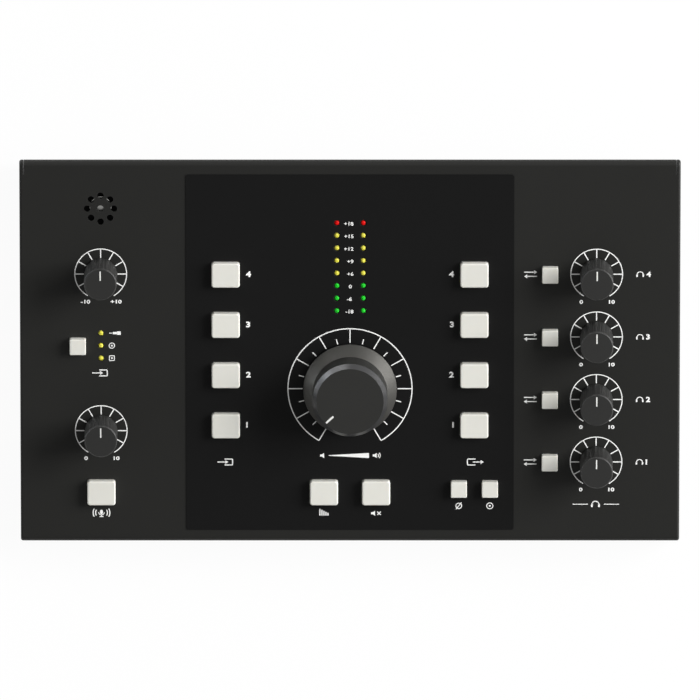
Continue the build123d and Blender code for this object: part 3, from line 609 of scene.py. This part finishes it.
def arc(radius, width, first, last, step=5):
    """A strip bent round the origin, anticlockwise from one angle to another, in degrees."""
    bpy.ops.mesh.primitive_plane_add(
        size=1,
        location=(radius * cos(radians(last)), radius * sin(radians(last)), INK / 2),
        rotation=(pi / 2, 0, radians(last)),
    )
    bpy.context.object.scale = (width, INK, 1)
    piece = freeze(bpy.context.object)
    edit(piece)
    if last - first >= full_turn:
        bpy.ops.mesh.delete(type="ONLY_FACE")
        bpy.ops.mesh.select_all(action="SELECT")
    bpy.ops.mesh.spin(
        steps=max(3, round((last - first) / step)),
        angle=radians(last - first),
        center=(0, 0, 0),
        axis=(0, 0, 1),
    )
    return close(piece)


def ticks(angles, inner, outer, width):
    """Radial bars at angles anticlockwise from the top, one drawn and the rest copied from it."""
    first = moved(slab(outer - inner, width, corner_share * width), inner, 0)
    made = [twin(first, Matrix.Rotation(radians(90 + angle), 4, "Z")) for angle in angles]
    bpy.data.objects.remove(first)
    return made


# %% [markdown]
# ## Printed numbers
#
# A number starts as text in Blender's own font, which gets a thickness and is then made a mesh. It is
# widened and made a little bolder, as print on a panel is. A digit of that font is 0.70 of its size
# high, so the size follows from the height that the print should have.

# %% Numbers
digit_height = 1.5
glyph_share = 0.70


def number(text, x, y, hug=0, height=digit_height, wide=1.4, bold=0.036):
    """Digits cut from ink. hug is -1, 0 or 1: x is their left edge, middle or right edge."""
    bpy.ops.object.text_add()
    piece = bpy.context.object
    size = height / glyph_share
    piece.data.body = text
    piece.data.size = size
    piece.data.offset = bold * size
    piece.data.extrude = INK / 2
    piece.data.resolution_u = 3
    only(piece)
    bpy.ops.object.convert(target="MESH")
    piece = bpy.context.object
    piece.data.transform(Matrix.Diagonal((wide, 1, 1, 1)))
    corners = np.array([vertex.co for vertex in piece.data.vertices])
    low, high = corners.min(0), corners.max(0)
    middle = (low + high) / 2
    anchor = (low[0], middle[0], high[0])[hug + 1]
    piece.data.transform(Matrix.Translation((x - anchor, y - middle[1], -low[2])))
    edit(piece)
    return close(piece)


# %% Scales of the small knobs
small_ring = 10.9
small_line = 0.4
small_tick_line = 0.46
small_tick_start = 7.05
small_tick_sweep = 120
tick_angle = 30
scale_sweep = 150
number_drop = 12.05
number_aside = 6.45
small_marks = {
    "trim": ("-10", "+10"),
    "talkback_level": ("0", "10"),
    "headphone_1": ("0", "10"),
    "headphone_2": ("0", "10"),
    "headphone_3": ("0", "10"),
    "headphone_4": ("0", "10"),
}
small_tick_angles = range(-small_tick_sweep, small_tick_sweep + 1, tick_angle)
for knob, (left, right) in small_marks.items():
    marks = [arc(small_ring, small_line, 90 - scale_sweep, 90 + scale_sweep)]
    marks += ticks(small_tick_angles, small_tick_start, small_ring, small_tick_line)
    marks.append(number(left, -number_aside, -number_drop))
    marks.append(number(right, number_aside, -number_drop))
    keep(lay(join(marks), panel, *place_of(f"{knob}_turn")), f"{knob}_scale", panel_ink, "case")
print("small scales", len(small_marks))

# %% Scale of the volume knob
main_ring = 26.15
main_line = 0.45
main_tick_start = 20.0
minor_tick_end = 22.3
minor_tick_sweep = scale_sweep - tick_angle // 2
main_tick_angles = range(-scale_sweep, scale_sweep + 1, tick_angle)
minor_tick_angles = range(-minor_tick_sweep, minor_tick_sweep + 1, tick_angle)
film_top = reach("centre_overlay")[1].z
marks = [arc(main_ring, main_line, 90 - scale_sweep, 90 + scale_sweep, step=3)]
marks += ticks(main_tick_angles, main_tick_start, main_ring, main_line)
marks += ticks(minor_tick_angles, main_tick_start, minor_tick_end, main_line)
main_scale = lay(join(marks), panel, *place_of("main_volume_turn"), film_top)
keep(main_scale, "main_volume_scale", panel_ink, "case")
print("film stands", round(film_top, 3), "mm proud")

# %% [markdown]
# ## Pointers
#
# A pointer is a white plastic inlay pressed into a shallow groove in the knob's face. The grooves are in
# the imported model, so each inlay only has to be a rounded bar that fills its groove almost flush. It
# belongs to its knob's body and turns with it.

# %% Pointer inlays
groove_depth = 0.3
inlay_gap = 0.05
inlay_thickness = groove_depth - 0.02
pointer_white = surface("pointer_white", tone(240, 240, 236), 0.36, specular=0.45, cell=0.2 * MM,
                        relief=0.003 * MM, drift=0.02)


def pointer(knob, inner, length, width, turn):
    """An inlay that runs outwards from a radius, at degrees anticlockwise from the rear."""
    soft = corner_share * width
    inlay = slab(length - 2 * inlay_gap, width - 2 * inlay_gap, soft, inlay_thickness)
    moved(moved(inlay, inner + inlay_gap, 0), 0, 0, 90 + turn)
    top = reach(f"{knob}_knob")[1].z
    inlay = lay(inlay, panel, *place_of(f"{knob}_turn"), top - groove_depth)
    keep(inlay, f"{knob}_pointer", pointer_white, knob)


for knob in small_marks:
    pointer(knob, inner=1.6, length=4.15, width=0.62, turn=0)
pointer("main_volume", inner=9.5, length=4.3, width=0.9, turn=133)
print("pointers", len(small_marks) + 1)

# %% [markdown]
# ## Numbers beside the meter and the keys
#
# The meter is read in decibels, so its numbers stand between the two columns of lamps, set to the right
# like figures in a table. Sources and loudspeakers are counted from one, upwards from the front, beside
# their keys.

# %% Meter numbers
meter_first_v = 100.1
meter_pitch = 5.457
meter_edge = 1.45
short_level_inset = 0.7
meter_levels = ("-18", "-6", "0", "+6", "+9", "+12", "+15", "+18")
marks = []
for row, level in enumerate(meter_levels):
    edge = meter_edge - (short_level_inset if level in ("-6", "0") else 0.0)
    marks.append(number(level, edge, row * meter_pitch, hug=1, wide=1.2, bold=0.02))
keep(lay(join(marks), panel, 0, meter_first_v, film_top), "meter_numbers", panel_ink, "case")
print("meter rows", len(meter_levels))

# %% Key numbers
key_rows = 4
key_first_v = 50.7
key_pitch = 21.9
key_number_edge = 43.8
key_number_height = 2.3
sign_wide = 1.2
sign_bold = 0.04
marks = []
for row in range(key_rows):
    for side in (-1, 1):
        marks.append(number(str(row + 1), side * key_number_edge, row * key_pitch, hug=side,
                            height=key_number_height, wide=sign_wide, bold=sign_bold))
keep(lay(join(marks), panel, 0, key_first_v, film_top), "key_numbers", panel_ink, "case")
print("key numbers", 2 * key_rows)

# %% [markdown]
# ## Signs
#
# What a key or knob does is told by a small sign instead of a word: an arrow into a frame for sources, an
# arrow out of it for loudspeakers, a ramp for loudness, and so on. Signs are built from five strokes of
# ink: a straight line, a ring or part of one, a dot, a block, and a taper that widens or narrows.

# %% Strokes: straight line, block, part of a ring and whole ring
sign_line = 0.42
thin_line = 0.34


def line(x0, y0, x1, y1, width=sign_line):
    """A straight stroke from one point to another."""
    run = Vector((x1 - x0, y1 - y0))
    return moved(slab(run.length, width, corner_share * width), x0, y0, degrees(atan2(run.y, run.x)))


def block(x, y, width, height, soft=0.12):
    """A filled rectangle with soft corners, centred on (x, y)."""
    return moved(slab(width, height, soft), x - width / 2, y)


def bow(x, y, radius, first, last, width=sign_line):
    """Part of a ring centred on (x, y), anticlockwise between two angles."""
    return moved(arc(radius, width, first, last, step=12), x, y)


def ring(x, y, radius, width=thin_line):
    """A whole ring centred on (x, y)."""
    return bow(x, y, radius, 0, full_turn, width)


# %% Strokes: dot and taper
def dot(x, y, radius):
    """A filled circle centred on (x, y), its upper edge bevelled."""
    bpy.ops.mesh.primitive_cylinder_add(vertices=20, radius=radius, depth=INK, location=(0, 0, INK / 2))
    piece = freeze(bpy.context.object)
    edit(piece)
    pick(piece, "EDGE", lambda edge: min(vertex.co.z for vertex in edge.verts) > INK / 2)
    bpy.ops.mesh.bevel(offset=corner_share * INK, segments=1)
    return moved(close(piece), x, y)


def taper(x, y, length, start, end):
    """A bar from (x, y) towards +X, or -X for a negative length, that changes from one width to another."""
    bpy.ops.mesh.primitive_cube_add(
        size=1, location=(length / 2, 0, INK / 2), scale=(abs(length), start, INK)
    )
    piece = freeze(bpy.context.object)
    edit(piece)
    pick(piece, "VERT", lambda vertex: abs(vertex.co.x) > abs(length) / 2)
    bpy.ops.transform.resize(value=(1, end / start, 1))
    return moved(close(piece), x, y)


# %% Arrow and frame, which together tell what comes in and what goes out
arrow_length = 4.6
arrow_in_start = -3.6
head_length = 1.25
head_width = 1.7
tip_width = 0.08
shaft_short = 0.8
frame_width = 3.4
frame_half_height = 1.3
frame_side = 0.6


def arrow(x, y, length):
    """An arrow from (x, y) towards +X, or towards -X for a negative length."""
    side = 1 if length > 0 else -1
    tip = x + length
    shaft = line(x, y, tip - shaft_short * side, y)
    return [shaft, taper(tip - head_length * side, y, head_length * side, head_width, tip_width)]


def frame_of_three(x, width):
    """A frame that is open to the left for a positive width, else to the right."""
    up = frame_half_height
    return [
        line(x, up, x + width, up),
        line(x + width, up, x + width, -up),
        line(x, -up, x + width, -up),
    ]


def into_frame():
    """The sign of an input."""
    return arrow(arrow_in_start, 0, arrow_length) + frame_of_three(-frame_side, frame_width)


def out_of_frame():
    """The sign of an output."""
    return arrow(-frame_side, 0, arrow_length) + frame_of_three(frame_side, -frame_width)


# %% Loudspeaker, headphones and microphone
def loudspeaker(x, waves=0):
    """A small box with its horn and any number of sound waves."""
    made = [block(x + 0.35, 0, width=0.7, height=0.95, soft=0.08)]
    made.append(taper(x + 0.72, 0, length=0.95, start=0.95, end=2.3))
    for wave in range(waves):
        made.append(bow(x + 1.3, 0, radius=1.1 + 0.75 * wave, first=-38, last=38, width=thin_line))
    return made


def headphones(x, y, size):
    """A band and two ear cups. Size is the radius of the band."""
    made = [bow(x, y, size, 0, 180, width=0.28 * size)]
    for side in (-1, 1):
        made.append(block(x + side * size, y - 0.25 * size, width=0.5 * size, height=0.85 * size))
    return made


def microphone(width=0.36):
    """A capsule in a cradle that stands on a stem and a foot."""
    capsule = block(0, 0.5, width=1.15, height=1.9, soft=0.5)
    cradle = bow(0, 0.4, radius=1.2, first=180, last=360, width=width)
    stem = line(0, -0.8, 0, -1.4, width)
    foot = line(-0.85, -1.5, 0.85, -1.5, width)
    return [capsule, cradle, stem, foot]


# %% Sockets, seen from the front
socket_radius = 1.15
socket_half = 1.05
pin_radius = 0.4


def coaxial(x, y):
    """A round shell with a pin."""
    return [ring(x, y, socket_radius), dot(x, y, pin_radius)]


def optical(x, y):
    """A square shell with a light in its middle."""
    half = socket_half
    edges = [line(x - half, y + side, x + half, y + side, thin_line) for side in (-half, half)]
    edges += [line(x + side, y - half, x + side, y + half, thin_line) for side in (-half, half)]
    return edges + [dot(x, y, pin_radius)]


# %% Printing a sign
def print_sign(name, marks, spot, w=0.0, surface_axes=panel):
    """Joins the strokes of a sign and prints it in one piece at a spot (u, v)."""
    keep(lay(join(marks), surface_axes, *spot, w), name, panel_ink, "case")


# %% Signs of sources, loudspeakers and volume
sources_spot = (-52.35, 34.45)
loudspeakers_spot = (52.35, 34.45)
volume_spot = (0, 37.3)
print_sign("sources_sign", into_frame(), sources_spot, film_top)
print_sign("loudspeakers_sign", out_of_frame(), loudspeakers_spot, film_top)
marks = loudspeaker(-12.6)
marks.append(taper(-9.0, 0, length=17.0, start=0.25, end=2.2))
marks += loudspeaker(9.6, waves=2)
print_sign("volume_sign", marks, volume_spot, film_top)

# %% Signs of dim and cut: bars that fall, and a loudspeaker with a cross
dim_spot = (-11.0, 12.0)
cut_spot = (11.0, 12.0)
bar_line = 0.5
bar_pitch = 0.85
bar_foot = -1.0
bar_top = 1.1
bar_fall = 0.45
marks = []
for step in range(-2, 3):
    u = bar_pitch * step
    marks.append(line(u, bar_foot, u, bar_top - bar_fall * step, bar_line))
print_sign("dim_sign", marks, dim_spot, film_top)
cross_left = 0.5
cross_right = 2.0
cross_up = 0.75
marks = loudspeaker(-2.1)
for up in (cross_up, -cross_up):
    marks.append(line(cross_left, -up, cross_right, up))
print_sign("cut_sign", marks, cut_spot, film_top)

# %% Signs of polarity and mono: a struck-out ring, and a ring round one dot
polarity_spot = (45.9, 15.26)
mono_spot = (59.0, 15.26)
marks = [ring(0, 0, radius=1.2), line(-1.15, -1.5, 1.15, 1.5, thin_line)]
print_sign("polarity_sign", marks, polarity_spot, film_top)
marks = [ring(0, 0, radius=1.3), dot(0, 0, radius=0.42)]
print_sign("mono_sign", marks, mono_spot, film_top)

# %% Signs of talkback and input select
talkback_spot = (-104.9, 12.0)
input_select_spot = (-105.1, 73.3)
talk_waves = 2
talk_first = 2.5
talk_pitch = 1.05
talk_v = 0.2
marks = microphone()
for facing in (0, 180):
    for wave in range(talk_waves):
        marks.append(bow(0, talk_v, talk_first + talk_pitch * wave, facing - 30, facing + 30))
print_sign("talkback_sign", marks, talkback_spot)
print_sign("input_select_sign", into_frame(), input_select_spot)

# %% [markdown]
# ## Signs beside the status lamps and the headphone knobs
#
# Three lamps tell which kind of socket is listened to, so a jack plug, a round socket and a square one
# stand beside them. Each headphone knob has its number, and its key swaps two sources.

# %% Signs beside the status lamps: jack plug, coaxial socket, optical socket
status_u = -101.5
status_v = 85.2
status_pitch = 5.45
socket_u = 1.2
plug = [line(0.1, 0, 1.5, 0, width=0.3)]
plug.append(block(2.5, 0, width=1.7, height=1.0))
plug.append(block(4.2, 0, width=1.6, height=1.5))
print_sign("jack_sign", plug, (status_u, status_v + status_pitch))
print_sign("coaxial_sign", coaxial(socket_u, 0), (status_u, status_v))
print_sign("optical_sign", optical(socket_u, 0), (status_u, status_v - status_pitch))

# %% Signs of the headphone section: headphones and a number, and two arrows that swap the source
phones_spot = (103.8, 34.4)
phones_rows = 4
phones_pitch = 27.3
band_u = 18.3
band_drop = 0.25
band_radius = 1.3
count_u = 20.9
count_height = 2.1
swap_u = -25.1
swap_length = 5.4
swap_half_gap = 0.9
marks = []
for row in range(phones_rows):
    v = row * phones_pitch
    marks += headphones(band_u, v - band_drop, band_radius)
    marks.append(number(str(row + 1), count_u, v, hug=-1, height=count_height,
                        wide=sign_wide, bold=sign_bold))
    marks += arrow(swap_u - swap_length, v + swap_half_gap, swap_length)
    marks += arrow(swap_u, v - swap_half_gap, -swap_length)
rule_v = -18.5
rule_near = 3.4
rule_far = 9.8
marks += headphones(-0.2, -18.7, size=1.5)
marks += [line(side * rule_near, rule_v, side * rule_far, rule_v, width=0.3) for side in (-1, 1)]
print_sign("headphone_signs", marks, phones_spot)
print("headphone rows", phones_rows)

# %% [markdown]
# ## Print on the connector panel
#
# The eighteen jacks stand in two rows, and whoever plugs a lead in reads them from behind. So the print
# there has its own axes: to the reader's right, up, and out of the rear face. A number stands above each
# upper jack and below each lower one, with one dot for a left channel and two for a right one, and a
# line with a sign gathers each group.

# %% Axes of the rear face, and the heights of its print
leftward = Vector((-1, 0, 0))
upward = Vector((0, 0, 1))
rearward = Vector((0, 1, 0))
rear_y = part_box("rear_panel")[1].y
rear = axes(Vector((0, rear_y, 0)), leftward, upward, rearward)
upper_gap = 2.9
lower_gap = 2.7
nut_low, nut_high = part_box("jack_nuts")
above_v = nut_high.z / MM + upper_gap
below_v = nut_low.z / MM - lower_gap
between_rows = (nut_low.z + nut_high.z) / 2
print("rear face at y", round(rear_y, 5), "print at", round(above_v, 2), "and", round(below_v, 2))

# %% Numbers of the jacks
jack_digit_height = 1.9
first_dot = 1.7
dot_pitch = 0.95
dot_drop = 0.6
dot_radius = 0.3
channel_dots = {"left": 1, "right": 2}
jack_numbers = {
    "headphone_jack": {"1": "1", "2": "2", "3": "3", "4": "4"},
    "main_output": {"left": "1", "right": "1"},
    "second_output": {"left": "2", "right": "2"},
    "third_output": {"left": "3", "right": "3"},
    "subwoofer": {"output": "4"},
    "first_input": {"left": "1", "right": "1"},
    "second_input": {"left": "2", "right": "2"},
    "cue_input": {"left": "4", "right": "4"},
}
marks = []
for group, ends in jack_numbers.items():
    for end, text in ends.items():
        spot = mounts[f"{group}_{end}"]["pos_m"]
        u = -spot[0] / MM
        v = above_v if spot[2] > between_rows else below_v
        marks.append(number(text, u, v, height=jack_digit_height, wide=sign_wide))
        for count in range(channel_dots.get(end, 0)):
            marks.append(dot(u + first_dot + dot_pitch * count, v - dot_drop, dot_radius))
print("numbers and dots", len(marks))
print_sign("jack_numbers", marks, (0, 0), surface_axes=rear)

# %% Group lines and signs of the connectors
group_v = above_v + 4.2
hook_drop = 1.2
sign_room = 3.8
headphone_span = (123, 95)
output_span = (87, 23)
input_span = (15, -53)
digital_u = -48
footswitch_u = 82


def group_line(span, sign):
    """A line over a group of jacks, bent down at its ends, with room for a sign in its middle."""
    first, last = span
    middle = (first + last) / 2
    made = [line(end, group_v, end, group_v - hook_drop, thin_line) for end in span]
    made.append(line(first, group_v, middle + sign_room, group_v, thin_line))
    made.append(line(last, group_v, middle - sign_room, group_v, thin_line))
    return made + [moved(stroke, middle, group_v) for stroke in sign]


marks = group_line(headphone_span, headphones(0, 0, size=1.4))
marks += group_line(output_span, out_of_frame())
marks += group_line(input_span, into_frame())
marks += coaxial(digital_u, above_v) + optical(digital_u, below_v)
pedal = [line(-1.5, -0.8, 1.5, -0.8), line(-1.5, -0.45, 1.4, 0.9)]
marks += [moved(stroke, footswitch_u, below_v) for stroke in pedal]
print_sign("connector_signs", marks, (0, 0), surface_axes=rear)

# %% [markdown]
# ## Inlet, power switch and rocker
#
# A low-voltage inlet has to tell which way round its plug is wired, so its sign shows the pin and the
# shell with plus and minus. The switch has the usual broken ring above it. The rocker slopes two ways,
# so its marks find the surface with a ray from behind and lie square to it, and they tilt with it.

# %% Sign of the inlet: a pin in an open shell, led to plus and minus
inlet_spot = (-76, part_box("dc_inlet")[1].z / MM + 3.4)
shell_radius = 1.3
lead_end = 3.4
mark_near = 4.2
mark_middle = 4.8
mark_far = 5.4
marks = [bow(0, 0, shell_radius, first=-135, last=135, width=0.36), dot(0, 0, radius=0.42)]
marks.append(line(0, 0, lead_end, 0, thin_line))
marks.append(line(-shell_radius, 0, -lead_end, 0, thin_line))
marks.append(line(-mark_far, 0, -mark_near, 0, thin_line))
marks.append(line(mark_near, 0, mark_far, 0, thin_line))
marks.append(line(mark_middle, -0.6, mark_middle, 0.6, thin_line))
print_sign("inlet_sign", marks, inlet_spot, surface_axes=rear)

# %% Sign of the power switch: a broken ring with a stroke in its gap
power_spot = (-105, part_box("power_switch_housing")[1].z / MM + 3.6)
power_line = 0.4
marks = [bow(0, 0, radius=1.4, first=-235, last=55, width=power_line)]
marks.append(line(0, 0.4, 0, 1.9, power_line))
print_sign("power_sign", marks, power_spot, surface_axes=rear)

# %% Marks on the rocker: a stroke for on, above a ring for off
rocker_x = 105
on_height = 32.6
off_height = 26.2
well_behind = 0.2
bpy.context.view_layer.update()


def meeting(name, x, z):
    """Axes on a node's surface where it is met from behind, at x and z in millimetres."""
    start = Vector((x * MM, well_behind, z * MM))
    _, spot, normal, _ = nodes[name].ray_cast(start, -rearward)
    return axes(spot, leftward, normal.cross(leftward), normal)


def mark_rocker(name, mark, z):
    """Lays one stroke on the sloping face of the rocker."""
    keep(lay(mark, meeting("power_rocker", rocker_x, z), 0, 0), name, panel_ink, "power_rocker")


mark_rocker("rocker_on_mark", line(0, -1.2, 0, 1.2, width=0.45), on_height)
mark_rocker("rocker_off_mark", ring(0, 0, radius=1.25, width=0.4), off_height)

# %% [markdown]
# ## Light
#
# Plain studio light: one large soft lamp to the right with a weaker one below it, a dim strip behind, a
# low cool strip at the rear left that draws the volume knob's bevel, and a pale room that fills shadows.

# %% Lamps. Places and sizes are in metres, and power in watts
lamp_aim = Vector((0, 0, 0.04))


def lamp(name, azimuth, elevation, distance, width, height, power, colour=(1, 1, 1)):
    """A soft lamp that faces the case. Azimuth is anticlockwise from +X, seen from above."""
    a = radians(azimuth)
    e = radians(elevation)
    spot = lamp_aim + distance * Vector((cos(a) * cos(e), sin(a) * cos(e), sin(e)))
    turn = (spot - lamp_aim).to_track_quat("Z", "Y").to_euler()
    bpy.ops.object.light_add(type="AREA", location=spot, rotation=turn)
    light = bpy.context.object
    light.name = name
    light.data.shape = "RECTANGLE"
    light.data.size = width
    light.data.size_y = height
    light.data.energy = power
    light.data.color = colour
    print(name, "stands at", tuple(round(value, 2) for value in spot))


cool_white = (0.90, 0.95, 1.0)
lamp("key_lamp", azimuth=14, elevation=33, distance=3.2, width=1.8, height=1.4, power=135.0)
lamp("side_lamp", azimuth=2, elevation=13, distance=3.2, width=1.4, height=0.6, power=36.0)
lamp("rear_lamp", azimuth=120, elevation=10, distance=3.2, width=2.8, height=0.6, power=16.0)
lamp("cool_lamp", azimuth=156, elevation=2, distance=3.6, width=3.0, height=0.3, power=41.0,
     colour=cool_white)

# %% Room, which is brighter on the side of the large lamp
bright_side = Vector((0.90, 0.35, 0.25)).normalized()
dim_strength = 0.24
bright_strength = 0.66
world = bpy.context.scene.world or bpy.data.worlds.new("room")
bpy.context.scene.world = world
world.use_nodes = True
tree = world.node_tree
background = tree.nodes["Background"]
background.inputs["Color"].default_value = (1, 1, 1, 1)
heading = node(tree, "ShaderNodeTexCoord")
towards_light = node(tree, "ShaderNodeVectorMath", operation="DOT_PRODUCT")
towards_light.inputs[1].default_value = bright_side
level = node(tree, "ShaderNodeMapRange", interpolation_type="SMOOTHSTEP")
level.inputs["From Min"].default_value = -0.1
level.inputs["From Max"].default_value = 1.0
level.inputs["To Min"].default_value = dim_strength
level.inputs["To Max"].default_value = bright_strength
link = tree.links.new
link(heading.outputs["Generated"], towards_light.inputs[0])
link(towards_light.outputs["Value"], level.inputs["Value"])
link(level.outputs["Result"], background.inputs["Strength"])
print("room strength", dim_strength, "to", bright_strength)

# %% [markdown]
# ## Floor
#
# The controller stands on a wide, pale, matt floor. To the camera, and in reflections, it is mostly plain
# white light, so the ground of the picture is white. The small share of paint that is left keeps the
# case's soft shadow.

# %% Floor
floor_size = 30.0
floor_grey = 0.86
floor_roughness = 0.9
white_part = 0.95
bpy.ops.mesh.primitive_plane_add(size=floor_size)
floor = bpy.context.object
floor.name = "floor"
floor_paint = bpy.data.materials.new("floor_paint")
floor_paint.use_nodes = True
tree = floor_paint.node_tree
shader = tree.nodes["Principled BSDF"]
shader.inputs["Base Color"].default_value = (floor_grey, floor_grey, floor_grey, 1)
shader.inputs["Roughness"].default_value = floor_roughness
shader.inputs["Specular IOR Level"].default_value = 0.0
glow = node(tree, "ShaderNodeEmission")
seen = node(tree, "ShaderNodeLightPath")
either = node(tree, "ShaderNodeMath", operation="ADD")
any_seen = node(tree, "ShaderNodeMath", operation="ADD", use_clamp=True)
white_share = node(tree, "ShaderNodeMath", operation="MULTIPLY")
white_share.inputs[1].default_value = white_part
mix = node(tree, "ShaderNodeMixShader")
link = tree.links.new
link(seen.outputs["Is Camera Ray"], either.inputs[0])
link(seen.outputs["Is Glossy Ray"], either.inputs[1])
link(either.outputs[0], any_seen.inputs[0])
link(seen.outputs["Is Transmission Ray"], any_seen.inputs[1])
link(any_seen.outputs[0], white_share.inputs[0])
link(white_share.outputs[0], mix.inputs[0])
link(shader.outputs[0], mix.inputs[1])
link(glow.outputs[0], mix.inputs[2])
link(mix.outputs[0], tree.nodes["Material Output"].inputs["Surface"])
floor.data.materials.append(floor_paint)
print("floor", floor_size, "m wide")
